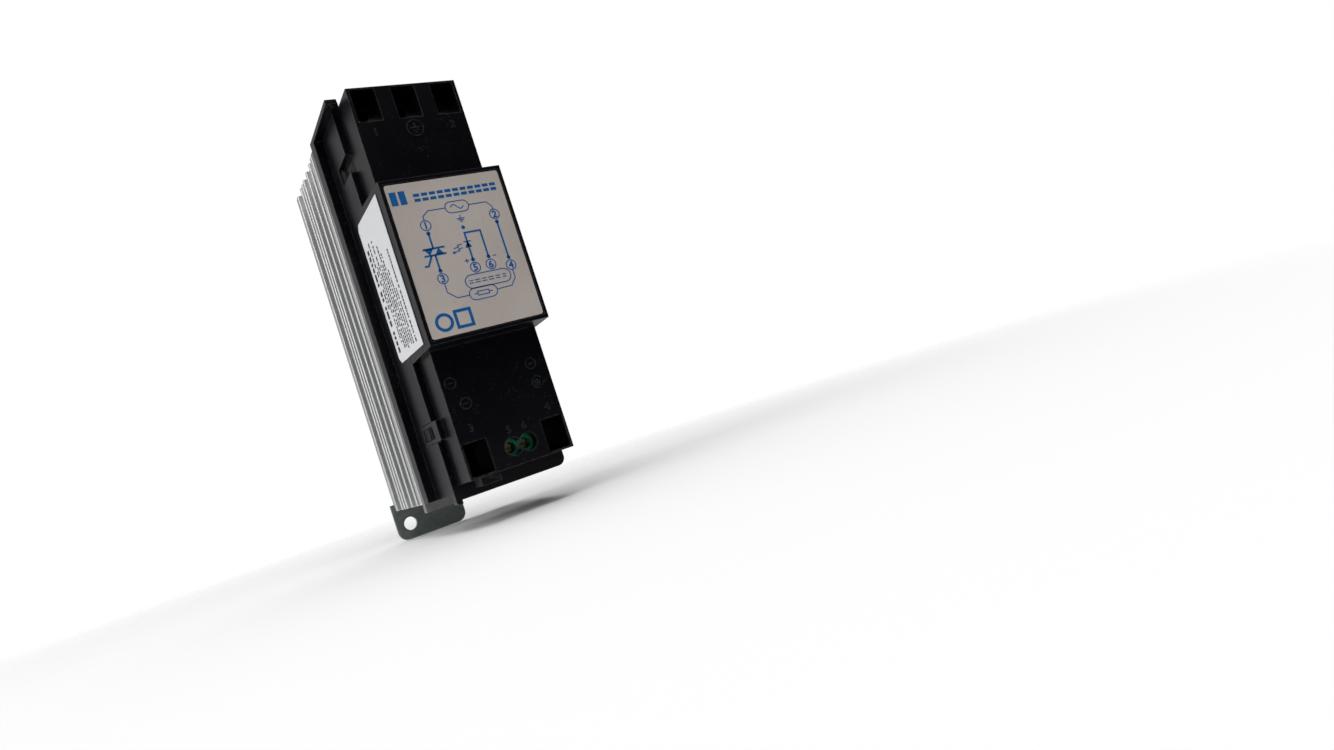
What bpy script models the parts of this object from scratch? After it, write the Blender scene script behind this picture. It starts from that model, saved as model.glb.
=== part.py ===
"""Slim solid state relay with its own heat sink, for screwing to a panel.

The model is in metres with +Z up.  The panel is the plane Y = 0 and the relay stands in front of it,
towards -Y.  X = 0 is the middle of the width and Z = 0 the middle of the raised label block, so the
origin lies on the back face of the steel mounting plate.

Every place along the depth is given as a distance in front of the panel.
"""
from math import atan2, cos, pi, radians, sin, tan

import bmesh
import bpy
from mathutils import Matrix, Vector

MM = 0.001
SLOP = 1.0 * MM            # how far a cutter runs past the face that it opens
GAP = 0.3 * MM             # clearance between pieces that touch

# ---- depth stack, from the panel to the front ---------------------------------------------------
PLATE_THICKNESS = 1.5 * MM
SINK_DEPTH = 40.4 * MM
BASE_PLATE_THICKNESS = 3.0 * MM
FLANGE_THICKNESS = 5.2 * MM
HOUSING_DEPTH = 25.4 * MM
COVER_DEPTH = 14.1 * MM
BLOCK_RISE = 8.4 * MM

SINK_BACK = PLATE_THICKNESS + GAP
SINK_FRONT = SINK_BACK + SINK_DEPTH
BASE_BACK = SINK_FRONT + GAP
BASE_FRONT = BASE_BACK + BASE_PLATE_THICKNESS
HOUSING_BACK = BASE_FRONT + GAP
FLANGE_FRONT = HOUSING_BACK + FLANGE_THICKNESS
RIM_FRONT = HOUSING_BACK + HOUSING_DEPTH
COVER_BACK = RIM_FRONT + GAP
TERMINAL_FRONT = COVER_BACK + COVER_DEPTH
BLOCK_FRONT = TERMINAL_FRONT + BLOCK_RISE

# ---- power screws and the widths that follow from them ------------------------------------------
TOP_PITCH = 12.7 * MM
BOTTOM_PITCH = 26.0 * MM
SCREW_HEAD = 6.8 * MM
WELL_PLAY = 0.35 * MM      # all round a screw head in its well
WELL_SIDE_WALL = 1.05 * MM # plastic between an outer well and the side of the cover
LEDGE = 1.9 * MM           # how far the housing stands out beside the cover
FLANGE_STEP = 3.1 * MM     # how far its flange stands out beside the housing

WELL_WIDTH = SCREW_HEAD + 2 * WELL_PLAY
TERMINAL_WIDTH = 2 * TOP_PITCH + WELL_WIDTH + 2 * WELL_SIDE_WALL
HOUSING_WIDTH = TERMINAL_WIDTH + 2 * LEDGE
SINK_WIDTH = HOUSING_WIDTH + 2 * FLANGE_STEP

# ---- heights, measured up from the middle of the label block ------------------------------------
HOUSING_TOP = 58.8 * MM
HOUSING_BOTTOM = -69.0 * MM
TOP_OVERHANG = 2.3 * MM    # how far the housing stands above the heat sink
SINK_OVERHANG = 0.1 * MM   # how far the heat sink stands below the housing
COVER_STEP = 2.9 * MM      # how far the cover ends above the foot of the housing
BLOCK_LENGTH = 50.6 * MM
BLOCK_DRAFT = 0.7 * MM     # how much further each end of the block reaches where it meets the rim

COVER_TOP = HOUSING_TOP - GAP
COVER_BOTTOM = HOUSING_BOTTOM + COVER_STEP
SINK_TOP = HOUSING_TOP - TOP_OVERHANG
SINK_BOTTOM = HOUSING_BOTTOM - SINK_OVERHANG

# ---- heat sink ----------------------------------------------------------------------------------
SINK_BASE = 3.2 * MM
SINK_REAR = 3.0 * MM
SINK_WEB = 10.0 * MM
FIN_THICKNESS = 1.8 * MM
WIDE_FIN_PITCH = 7.5 * MM
WIDE_FINS = 3
CLOSE_FIN_PITCH = 3.95 * MM
CLOSE_FINS = 2

# ---- steel mounting plate -----------------------------------------------------------------------
PLATE_MARGIN = 0.3 * MM    # how far each long edge stays inside the heat sink
TAB_REACH = 11.7 * MM      # how far a tab stands past the end of the heat sink
TAB_SHOULDER = 2.6 * MM    # how far inside the end of the heat sink a tab starts
TAB_PAST_SIDE = 1.3 * MM   # how far a tab stands out beside the heat sink
TAB_PAST_MIDDLE = 2.7 * MM
TAB_CORNER = 3.5 * MM
PANEL_HOLE = 5.0 * MM
PANEL_HOLE_INSET = 5.3 * MM # from the side of a tab to the hole's middle
PANEL_HOLE_DROP = 6.0 * MM # from the end of the heat sink to the hole's middle
PLATE_SCREW_SPAN = 90.0 * MM
PLATE_SCREW_HEAD = 7.6 * MM

# ---- relay base plate ---------------------------------------------------------------------------
TONGUE_WIDTH = 12.5 * MM
TONGUE_REACH = 3.0 * MM
TONGUE_CORNER = 2.0 * MM

# ---- base housing -------------------------------------------------------------------------------
SIDE_WALL = 2.5 * MM
END_WALL = 1.5 * MM
LIP_DROP = 1.9 * MM        # how far the lip hangs below the housing
LIP_DEPTH = 3.2 * MM
LIP_CORNER = 2.6 * MM
HOOK_WIDTH = 2.0 * MM      # the hook at the left end of the lip
HOOK_DROP = 1.2 * MM
HOOK_CORNER = 0.8 * MM
EAR_REACH = 7.4 * MM       # how far the ear of the top wall stands in front of the rim
EAR_INSET = 3.5 * MM
EAR_HOLE = 2.2 * MM
TOP_SEAT_LENGTH = 12.8 * MM
BOTTOM_SEAT_LENGTH = 14.5 * MM
DIVIDER = 1.5 * MM
NOTCH_DROP = 15.1 * MM     # from the top of the housing down to the side notch
NOTCH_LENGTH = 5.9 * MM
NOTCH_DEPTH = 1.9 * MM
NOTCH_REACH = 12.6 * MM
CORBEL_LENGTH = 3.0 * MM
CORBEL_REACH = 1.9 * MM
CORBEL_HEIGHT = 5.0 * MM

# ---- front cover --------------------------------------------------------------------------------
COVER_WALL = 1.6 * MM
WELL_LENGTH = 10.4 * MM
WELL_RIM = 0.6 * MM        # plastic left between a well and the end of the cover
WELL_BACKING = 3.0 * MM    # solid plastic between the wells and the hollow of the cover
ARM_HEIGHT = 23.9 * MM     # from the foot of the housing up to the top of the snap arm
ARM_LENGTH = 6.3 * MM
ARM_REACH = 13.0 * MM      # how far the snap arm runs back from the rim
ARM_ROOT = 4.2 * MM        # how far it climbs the side of the cover
ARM_THICKNESS = 0.9 * MM
ARM_FRAME = 1.1 * MM
FOOT_TAB_LEFT = 3.0 * MM    # from the side of the cover to the small tab under its foot
FOOT_TAB_WIDTH = 6.5 * MM
FOOT_TAB_DROP = 2.5 * MM
FOOT_TAB_DEPTH = 6.6 * MM
LABEL_SIDE_RIM = 1.3 * MM  # plastic left round the front label, the room for it included
LABEL_END_RIM = 1.5 * MM
LABEL_RECESS = 0.5 * MM
LABEL_THICKNESS = 0.25 * MM
LABEL_CORNER = 0.8 * MM
SIDE_LABEL_MARGIN = 1.8 * MM
SIDE_LABEL_WIDTH = 29.2 * MM
SIDE_LABEL_CLIP = 1.8 * MM
SIDE_LABEL_FRONT_MARGIN = 4.9 * MM
SIDE_LABEL_THICKNESS = 0.2 * MM
STICKER_GAP = 0.1 * MM

# ---- power terminals ----------------------------------------------------------------------------
BAR_THICKNESS = 1.2 * MM
BAR_WIDTH = 7.0 * MM
SEAT_FRONT = 12.2 * MM     # height of the terminal seats above the back of the housing
CLAMP_WIDTH = 7.0 * MM
CLAMP_LENGTH = 8.6 * MM
CLAMP_THICKNESS = 1.5 * MM
CLAMP_TRAVEL = 3.5 * MM
SCREW_SHANK = 3.9 * MM
SCREW_LENGTH = 11.5 * MM
SCREW_HEAD_HEIGHT = 2.6 * MM
SLOT_WIDTH = 1.1 * MM
SLOT_DEPTH = 1.3 * MM
SCREW_CLEARANCE = 0.3 * MM # all round a shank that turns or passes through
ENTRY_HEIGHT = 4.4 * MM

# ---- control terminal block ---------------------------------------------------------------------
CONTROL_X = 1.0 * MM
CONTROL_HEIGHT = 5.9 * MM  # from the foot of the cover up to the middle of the openings
CONTROL_PITCH = 5.08 * MM
CONTROL_OPENING = 5.8 * MM
CONTROL_RECESS = 3.5 * MM  # from the terminal face back to the block's collars
COLLAR_HEIGHT = 1.9 * MM
COLLAR_WIDTH = 5.6 * MM
CONTROL_LENGTH = 10.6 * MM
CONTROL_HEAD = 3.0 * MM
CONTROL_HEAD_HEIGHT = 1.5 * MM
CONTROL_SHANK = 2.1 * MM
CONTROL_SCREW_LENGTH = 3.4 * MM
CAGE_WIDTH = 3.8 * MM
CAGE_WALL = 0.7 * MM
CAGE_OPEN = 3.5 * MM
CAGE_LENGTH = 4.2 * MM
CAGE_TRAVEL = 2.2 * MM
CONTACT_THICKNESS = 0.6 * MM
CONTACT_WIDTH = 1.6 * MM

# ---- inside -------------------------------------------------------------------------------------
MODULE_WIDTH = 26.0 * MM
MODULE_SCREW_Z = 11.0 * MM
MODULE_PIN = 1.0 * MM
MODULE_PIN_SPACING = 5.0 * MM
PAD_THICKNESS = 0.4 * MM
BOARD_THICKNESS = 1.6 * MM
BOARD_TOP_ROOM = 4.5 * MM  # from the board to the terminal seats at either end
BOARD_BOTTOM_ROOM = 7.5 * MM
BOARD_MARGIN = 0.4 * MM
OPTOCOUPLER = (0.0, -29.7 * MM, 6.4 * MM, 8.6 * MM, 3.4 * MM)      # x, z, width, length, height
CAPACITOR = (-10.2 * MM, 1.0 * MM, 7.5 * MM, 18.0 * MM, 13.0 * MM)
VARISTOR = (8.5 * MM, 12.0 * MM, 11.0 * MM, 4.5 * MM)              # x, z, diameter, height
SNUBBER_RESISTOR = (8.0 * MM, -8.5 * MM, 5.0 * MM, 15.0 * MM)      # x, z, diameter, length
INPUT_RESISTOR = (-9.0 * MM, -25.5 * MM, 3.2 * MM, 9.0 * MM)
LED_X = 12.5 * MM
LED_HEIGHT_ON_BOARD = 2.3 * MM  # from the foot of the board up to the lamp
LED_DIAMETER = 3.0 * MM
LED_HEIGHT = 4.5 * MM
PIPE_DIAMETER = 3.0 * MM
PIPE_RECESS = 0.6 * MM
PIPE_HOLE = 3.6 * MM
RELAY_SCREW_Z = 26.6 * MM
RELAY_SCREW_LENGTH = 16.0 * MM
STRAP_FOOT = 8.0 * MM
SMALL_SHANK = 2.9 * MM
SMALL_HEAD = 5.4 * MM
SMALL_HEAD_HEIGHT = 1.8 * MM
MODULE_SCREW_LENGTH = 4.5 * MM
EARTH_SCREW_LENGTH = 4.2 * MM
BOARD_RECESS = 3.2 * MM    # from the housing's rim back to the front of the board
HOUSING_SCREW_SHANK = 2.8 * MM
HOUSING_SCREW_HEAD = 5.4 * MM
HOUSING_SCREW_LENGTH = 8.0 * MM

ROUND = 24                 # sides of a visible round piece
FINE = 16                  # sides of a small or hidden one

PLASTIC_BLACK = ((0.018, 0.018, 0.020), 0.45, 0.0)
ALUMINIUM = ((0.72, 0.73, 0.74), 0.35, 1.0)
ZINC_STEEL = ((0.50, 0.53, 0.52), 0.40, 1.0)
NICKEL = ((0.66, 0.64, 0.58), 0.30, 1.0)
BRASS = ((0.72, 0.52, 0.25), 0.32, 1.0)
COPPER = ((0.78, 0.42, 0.28), 0.35, 1.0)
GREEN = ((0.03, 0.35, 0.22), 0.45, 0.0)
LABEL_GREY = ((0.62, 0.58, 0.54), 0.55, 0.0)
PAPER_WHITE = ((0.86, 0.87, 0.86), 0.60, 0.0)
BOARD_GREEN = ((0.05, 0.22, 0.10), 0.50, 0.0)
MODULE_GREY = ((0.10, 0.10, 0.11), 0.55, 0.0)
PAD_GREY = ((0.55, 0.56, 0.60), 0.80, 0.0)
CLEAR = ((0.80, 0.78, 0.72), 0.15, 0.0)
LED_RED = ((0.60, 0.05, 0.03), 0.20, 0.0)
CAPACITOR_BLUE = ((0.08, 0.14, 0.42), 0.45, 0.0)
RESISTOR_TAN = ((0.62, 0.48, 0.32), 0.55, 0.0)


# ---- scene and helpers --------------------------------------------------------------------------
for old in list(bpy.data.objects):
    bpy.data.objects.remove(old, do_unlink=True)

parts = bpy.data.collections.new("solid_state_relay")
cutters = bpy.data.collections.new("cutters")
bpy.context.scene.collection.children.link(parts)
bpy.context.scene.collection.children.link(cutters)


def material(name, look):
    """A Principled material with a colour, a roughness and a metallic value."""
    found = bpy.data.materials.get(name)
    if found:
        return found
    made = bpy.data.materials.new(name)
    made.use_nodes = True
    shader = made.node_tree.nodes["Principled BSDF"]
    colour, roughness, metallic = look
    shader.inputs["Base Color"].default_value = (*colour, 1.0)
    shader.inputs["Roughness"].default_value = roughness
    shader.inputs["Metallic"].default_value = metallic
    return made


def place(name, bm):
    """Turn a bmesh into an object in the cutters' collection, until it is finished as a part."""
    bmesh.ops.recalc_face_normals(bm, faces=bm.faces)
    mesh = bpy.data.meshes.new(name)
    bm.to_mesh(mesh)
    bm.free()
    made = bpy.data.objects.new(name, mesh)
    cutters.objects.link(made)
    made.hide_render = True
    made.display_type = 'WIRE'
    return made


def part(made, look_name, look):
    """Move a finished object to the parts and give it its own material."""
    cutters.objects.unlink(made)
    parts.objects.link(made)
    made.hide_render = False
    made.display_type = 'TEXTURED'
    made.data.materials.clear()
    made.data.materials.append(material(look_name, look))
    made.data.shade_smooth()
    made.data.set_sharp_from_angle(angle=radians(35))
    return made


def box(name, left, right, back, front, bottom, top):
    """A box between two X, two distances in front of the panel and two Z."""
    bm = bmesh.new()
    bmesh.ops.create_cube(bm, size=1.0)
    size = Vector((right - left, front - back, top - bottom))
    middle = Vector(((left + right) / 2, -(back + front) / 2, (bottom + top) / 2))
    bmesh.ops.transform(bm, matrix=Matrix.Translation(middle) @ Matrix.Diagonal((*size, 1.0)),
                        verts=bm.verts)
    return place(name, bm)


def rod(name, x, z, back, front, diameter, front_diameter=None, sides=ROUND):
    """A round bar or cone that points along the depth."""
    bm = bmesh.new()
    if front_diameter is None:
        front_diameter = diameter
    bmesh.ops.create_cone(bm, cap_ends=True, segments=sides, radius1=diameter / 2,
                          radius2=front_diameter / 2, depth=front - back)
    turn = Matrix.Rotation(pi / 2, 4, 'X')
    bmesh.ops.transform(bm, matrix=Matrix.Translation((x, -(back + front) / 2, z)) @ turn,
                        verts=bm.verts)
    return place(name, bm)


def countersink(name, x, z, face, head, shank, play=0.0):
    """A 90 degree cone that narrows towards the front, from past the face to inside the shank."""
    behind = SLOP if play else 0.0
    inside = (head - shank) / 2 + GAP
    return rod(name, x, z, face - behind, face + inside, head + play + 2 * behind,
               head + play - 2 * inside)


def rounded(points, radius, corners):
    """Round the numbered corners of an outline, five chords to a quarter turn."""
    result = []
    count = len(points)
    for index, point in enumerate(points):
        here = Vector(point)
        if index not in corners:
            result.append(here)
            continue
        before = (Vector(points[index - 1]) - here).normalized()
        after = (Vector(points[(index + 1) % count]) - here).normalized()
        half = before.angle(after) / 2
        centre = here + (before + after).normalized() * (radius / sin(half))
        start = here + before * (radius / tan(half)) - centre
        end = here + after * (radius / tan(half)) - centre
        first = atan2(start.y, start.x)
        sweep = (atan2(end.y, end.x) - first + pi) % (2 * pi) - pi
        for step in range(6):
            angle = first + sweep * step / 5
            result.append(centre + radius * Vector((cos(angle), sin(angle))))
    return result


def prism(name, outline, low, high, along='Z'):
    """A flat outline made solid: (x, distance) along Z, or (x, z) along the depth."""
    curve = bpy.data.curves.new(name, 'CURVE')
    curve.dimensions = '2D'
    curve.fill_mode = 'BOTH'
    curve.extrude = (high - low) / 2
    spline = curve.splines.new('POLY')
    spline.points.add(len(outline) - 1)
    for spot, corner in zip(spline.points, outline):
        spot.co = (corner[0], corner[1], 0.0, 1.0)
    spline.use_cyclic_u = True
    flat = bpy.data.objects.new(name, curve)
    cutters.objects.link(flat)
    if along == 'Z':
        flat.matrix_world = Matrix.Translation((0, 0, (low + high) / 2)) @ Matrix.Diagonal((1, -1, 1, 1))
    else:
        flat.matrix_world = (Matrix.Translation((0, -(low + high) / 2, 0))
                             @ Matrix.Rotation(pi / 2, 4, 'X'))
    evaluated = flat.evaluated_get(bpy.context.evaluated_depsgraph_get())
    mesh = bpy.data.meshes.new_from_object(evaluated)
    bm = bmesh.new()
    bm.from_mesh(mesh)
    bmesh.ops.remove_doubles(bm, verts=bm.verts, dist=0.001 * MM)
    bmesh.ops.transform(bm, matrix=flat.matrix_world, verts=bm.verts)
    bpy.data.objects.remove(flat, do_unlink=True)
    return place(name, bm)


def profile(name, corners, start, end):
    """An outline of (distance in front of the panel, z) made solid between two X."""
    bm = bmesh.new()
    face = bm.faces.new([bm.verts.new((start, -distance, z)) for distance, z in corners])
    lifted = bmesh.ops.extrude_face_region(bm, geom=[face])
    moved = [item for item in lifted["geom"] if isinstance(item, bmesh.types.BMVert)]
    bmesh.ops.translate(bm, vec=(end - start, 0, 0), verts=moved)
    return place(name, bm)


def combine(body, tool, operation):
    """Add one Boolean modifier with the exact solver."""
    modifier = body.modifiers.new(tool.name, 'BOOLEAN')
    modifier.operation = operation
    modifier.solver = 'EXACT'
    modifier.object = tool


def cut(body, *tools):
    for tool in tools:
        combine(body, tool, 'DIFFERENCE')


def join(body, *tools):
    for tool in tools:
        combine(body, tool, 'UNION')


def span(side, near, far):
    """Order two distances from the middle as a left and a right X on the given side."""
    return sorted((side * near, side * far))


# ---- places that several pieces share -----------------------------------------------------------
SEAT_TOP = HOUSING_BACK + SEAT_FRONT
BAR_BACK = SEAT_TOP + GAP
BAR_FRONT = BAR_BACK + BAR_THICKNESS
CLAMP_BACK = BAR_FRONT + GAP
CLAMP_FRONT = CLAMP_BACK + CLAMP_THICKNESS
HEAD_BACK = CLAMP_FRONT + GAP
HEAD_FRONT = HEAD_BACK + SCREW_HEAD_HEIGHT

CONTROL_Z = COVER_BOTTOM + CONTROL_HEIGHT
TOP_WELL_Z = COVER_TOP - WELL_RIM - WELL_LENGTH / 2
BOTTOM_WELL_Z = COVER_BOTTOM + WELL_RIM + WELL_LENGTH / 2

POWER_TERMINALS = {
    "1": (-TOP_PITCH, TOP_WELL_Z),
    "earth": (0.0, TOP_WELL_Z),
    "2": (TOP_PITCH, TOP_WELL_Z),
    "3": (-BOTTOM_PITCH / 2, BOTTOM_WELL_Z),
    "4": (BOTTOM_PITCH / 2, BOTTOM_WELL_Z),
}
CONTROL_TERMINALS = {
    "5": CONTROL_X - CONTROL_PITCH / 2,
    "6": CONTROL_X + CONTROL_PITCH / 2,
}

CONTROL_FRONT = TERMINAL_FRONT - CONTROL_RECESS - COLLAR_HEIGHT
BOARD_FRONT = RIM_FRONT - BOARD_RECESS
BOARD_BACK = BOARD_FRONT - BOARD_THICKNESS
CONTROL_BACK = BOARD_FRONT + GAP
CONTROL_HALF = CONTROL_PITCH
MODULE_BACK = BASE_FRONT + GAP + PAD_THICKNESS + GAP
MODULE_FRONT = BAR_BACK - GAP

HOUSING_HALF = HOUSING_WIDTH / 2
CAVITY_HALF = HOUSING_HALF - SIDE_WALL
SINK_HALF = SINK_WIDTH / 2
TERMINAL_HALF = TERMINAL_WIDTH / 2
TOP_SEAT_Z = HOUSING_TOP - END_WALL - TOP_SEAT_LENGTH
BOTTOM_SEAT_Z = HOUSING_BOTTOM + END_WALL + BOTTOM_SEAT_LENGTH
BOARD_TOP = TOP_SEAT_Z - BOARD_TOP_ROOM
BOARD_BOTTOM = BOTTOM_SEAT_Z + BOARD_BOTTOM_ROOM
LED_Z = BOARD_BOTTOM + LED_HEIGHT_ON_BOARD
NOTCH_TOP = HOUSING_TOP - NOTCH_DROP
ARM_TOP = HOUSING_BOTTOM + ARM_HEIGHT
TAB_OUTER = SINK_HALF + TAB_PAST_SIDE
PANEL_HOLE_X = TAB_OUTER - PANEL_HOLE_INSET
LABEL_WIDTH = HOUSING_WIDTH - 2 * LABEL_SIDE_RIM
LABEL_LENGTH = BLOCK_LENGTH - 2 * LABEL_END_RIM
HOUSING_SCREWS = [(side * TOP_PITCH / 2, height)
                  for height in (TOP_WELL_Z, BOTTOM_WELL_Z) for side in (-1, 1)]
STRAP_Z = RELAY_SCREW_Z + SCREW_HEAD / 2 + 2 * GAP + STRAP_FOOT
STRAP_SCREW_Z = STRAP_Z - STRAP_FOOT / 2
MODULE_SCREWS = {
    "1": (-TOP_PITCH, MODULE_SCREW_Z),
    "3": (-BOTTOM_PITCH / 2, -MODULE_SCREW_Z),
}


# ---- heat sink, base plate and mounting plate ---------------------------------------------------
def fin_places():
    """Distance of each fin's back face in front of the panel, from the relay towards the panel."""
    front_fin = SINK_FRONT - SINK_BASE - WIDE_FIN_PITCH + (WIDE_FIN_PITCH - FIN_THICKNESS) / 2
    places = [front_fin - number * WIDE_FIN_PITCH for number in range(WIDE_FINS)]
    for number in range(CLOSE_FINS):
        places.append(places[-1] - CLOSE_FIN_PITCH)
    return places


def heat_sink():
    """An extruded comb: a base, a web with fins on both sides, and a rear face."""
    def slab(name, half, back, front):
        return box(name, -half, half, back, front, SINK_BOTTOM, SINK_TOP)

    body = slab("heat_sink", SINK_HALF, SINK_FRONT - SINK_BASE, SINK_FRONT)
    join(body, slab("sink_web", SINK_WEB / 2, SINK_BACK + SINK_REAR / 2, SINK_FRONT - SINK_BASE / 2),
         slab("sink_rear", SINK_HALF, SINK_BACK, SINK_BACK + SINK_REAR))
    for number, back in enumerate(fin_places()):
        join(body, slab(f"fin_{number + 1}", SINK_HALF, back, back + FIN_THICKNESS))
    depth = RELAY_SCREW_LENGTH
    for side in (-1, 1):
        hole = SCREW_SHANK + 2 * SCREW_CLEARANCE
        cut(body, rod(f"sink_front_hole_{side}", 0, side * RELAY_SCREW_Z, SINK_FRONT - depth,
                      SINK_FRONT + SLOP, hole, sides=FINE))
        cut(body, rod(f"sink_rear_hole_{side}", 0, side * PLATE_SCREW_SPAN / 2, SINK_BACK - SLOP,
                      SINK_BACK + depth / 2, hole, sides=FINE))
    part(body, "aluminium", ALUMINIUM)


def base_plate():
    """The relay's own metal base, with the tongue that shows below the housing."""
    tongue_right = -SINK_HALF + TONGUE_WIDTH
    outline = [(-SINK_HALF, SINK_TOP), (-SINK_HALF, HOUSING_BOTTOM - TONGUE_REACH),
               (tongue_right, HOUSING_BOTTOM - TONGUE_REACH), (tongue_right, HOUSING_BOTTOM),
               (SINK_HALF, HOUSING_BOTTOM), (SINK_HALF, SINK_TOP)]
    outline = rounded(outline, TONGUE_CORNER, {2})
    body = prism("base_plate", outline, BASE_BACK, BASE_FRONT, along='Y')
    for side in (-1, 1):
        cut(body, rod(f"base_relay_hole_{side}", 0, side * RELAY_SCREW_Z, BASE_BACK - SLOP,
                      BASE_FRONT + SLOP, SCREW_SHANK + 2 * SCREW_CLEARANCE, sides=FINE))
    cut(body, rod("base_earth_hole", 0, STRAP_SCREW_Z, BASE_BACK - SLOP, BASE_FRONT + SLOP,
                  SMALL_SHANK + 2 * SCREW_CLEARANCE, sides=FINE))
    for number, (x, z) in enumerate(HOUSING_SCREWS):
        cut(body, rod(f"base_housing_hole_{number}", x, z, BASE_BACK - SLOP, BASE_FRONT + SLOP,
                      HOUSING_SCREW_SHANK + 2 * SCREW_CLEARANCE, sides=FINE))
        cut(body, countersink(f"base_countersink_{number}", x, z, BASE_BACK, HOUSING_SCREW_HEAD,
                              HOUSING_SCREW_SHANK, 2 * SCREW_CLEARANCE))
    part(body, "zinc_steel_base", ZINC_STEEL)


def mounting_plate():
    """The steel plate on the back, with a tab and a hole at two opposite corners."""
    middle = (SINK_TOP + SINK_BOTTOM) / 2
    half_length = (SINK_TOP - SINK_BOTTOM) / 2
    half = SINK_HALF - PLATE_MARGIN
    shoulder = TAB_SHOULDER - half_length
    tip = -half_length - TAB_REACH
    lower = [(-half, shoulder), (-TAB_OUTER, shoulder), (-TAB_OUTER, tip), (TAB_PAST_MIDDLE, tip),
             (TAB_PAST_MIDDLE, -half_length), (half, -half_length)]
    upper = [(-x, -z) for x, z in lower]
    outline = [(x, z + middle) for x, z in lower + upper]
    outline = rounded(outline, TAB_CORNER, {2, 3, 8, 9})
    body = prism("mounting_plate", outline, 0.0, PLATE_THICKNESS, along='Y')
    for side in (-1, 1):
        hole_z = middle + side * (half_length + PANEL_HOLE_DROP)
        cut(body, rod(f"panel_hole_{side}", side * PANEL_HOLE_X, hole_z, -SLOP,
                      PLATE_THICKNESS + SLOP, PANEL_HOLE))
        cut(body, rod(f"plate_screw_hole_{side}", 0, side * PLATE_SCREW_SPAN / 2, -SLOP,
                      PLATE_THICKNESS + SLOP, SCREW_SHANK + 2 * SCREW_CLEARANCE),
            countersink(f"plate_countersink_{side}", 0, side * PLATE_SCREW_SPAN / 2, 0.0,
                        PLATE_SCREW_HEAD, SCREW_SHANK, 2 * SCREW_CLEARANCE))
    part(body, "zinc_steel", ZINC_STEEL)


def thermal_pad():
    """The pad between the power module and the base plate."""
    body = box("thermal_pad", -MODULE_WIDTH / 2, MODULE_WIDTH / 2, BASE_FRONT + GAP,
               BASE_FRONT + GAP + PAD_THICKNESS, -RELAY_SCREW_Z + SCREW_HEAD / 2 + GAP,
               RELAY_SCREW_Z - SCREW_HEAD / 2 - GAP)
    part(body, "pad_grey", PAD_GREY)


# ---- base housing -------------------------------------------------------------------------------
def housing_top_wall():
    """The top wall, with an ear that stands forward beside the left of the cover."""
    inner = TERMINAL_HALF + GAP
    tip = RIM_FRONT + EAR_REACH
    outline = [(SINK_HALF, HOUSING_BACK), (SINK_HALF, RIM_FRONT), (-inner, RIM_FRONT),
               (-inner, tip - EAR_INSET), (EAR_INSET - SINK_HALF, tip), (-SINK_HALF, tip),
               (-SINK_HALF, HOUSING_BACK)]
    wall = prism("housing_top_wall", outline, HOUSING_TOP - END_WALL, HOUSING_TOP)
    bm = bmesh.new()
    bmesh.ops.create_cone(bm, cap_ends=True, segments=FINE, radius1=EAR_HOLE / 2,
                          radius2=EAR_HOLE / 2, depth=END_WALL + 2 * SLOP)
    centre = (EAR_INSET / 2 - SINK_HALF, -(tip - EAR_INSET / 2 - GAP), HOUSING_TOP - END_WALL / 2)
    bmesh.ops.translate(bm, vec=centre, verts=bm.verts)
    cut(wall, place("ear_hole", bm))
    return wall


def housing_lip():
    """The lip that closes the lower end in the plane of the rim, with a hook at its left end."""
    low = HOUSING_BOTTOM - LIP_DROP
    high = COVER_BOTTOM - GAP
    half, inner, hook = HOUSING_HALF, HOUSING_HALF - HOOK_WIDTH, low - HOOK_DROP
    outline = [(-half, high), (-half, hook), (-inner, hook), (-inner, low), (half, low),
               (half, high)]
    outline = rounded(rounded(outline, LIP_CORNER, {4}), HOOK_CORNER, {1})
    return prism("housing_lip", outline, RIM_FRONT - LIP_DEPTH, RIM_FRONT, along='Y')


def compartment(name, left, right, bottom, top):
    """Room in front of a terminal seat."""
    return box(name, left, right, SEAT_TOP, RIM_FRONT + SLOP, bottom, top)


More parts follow.
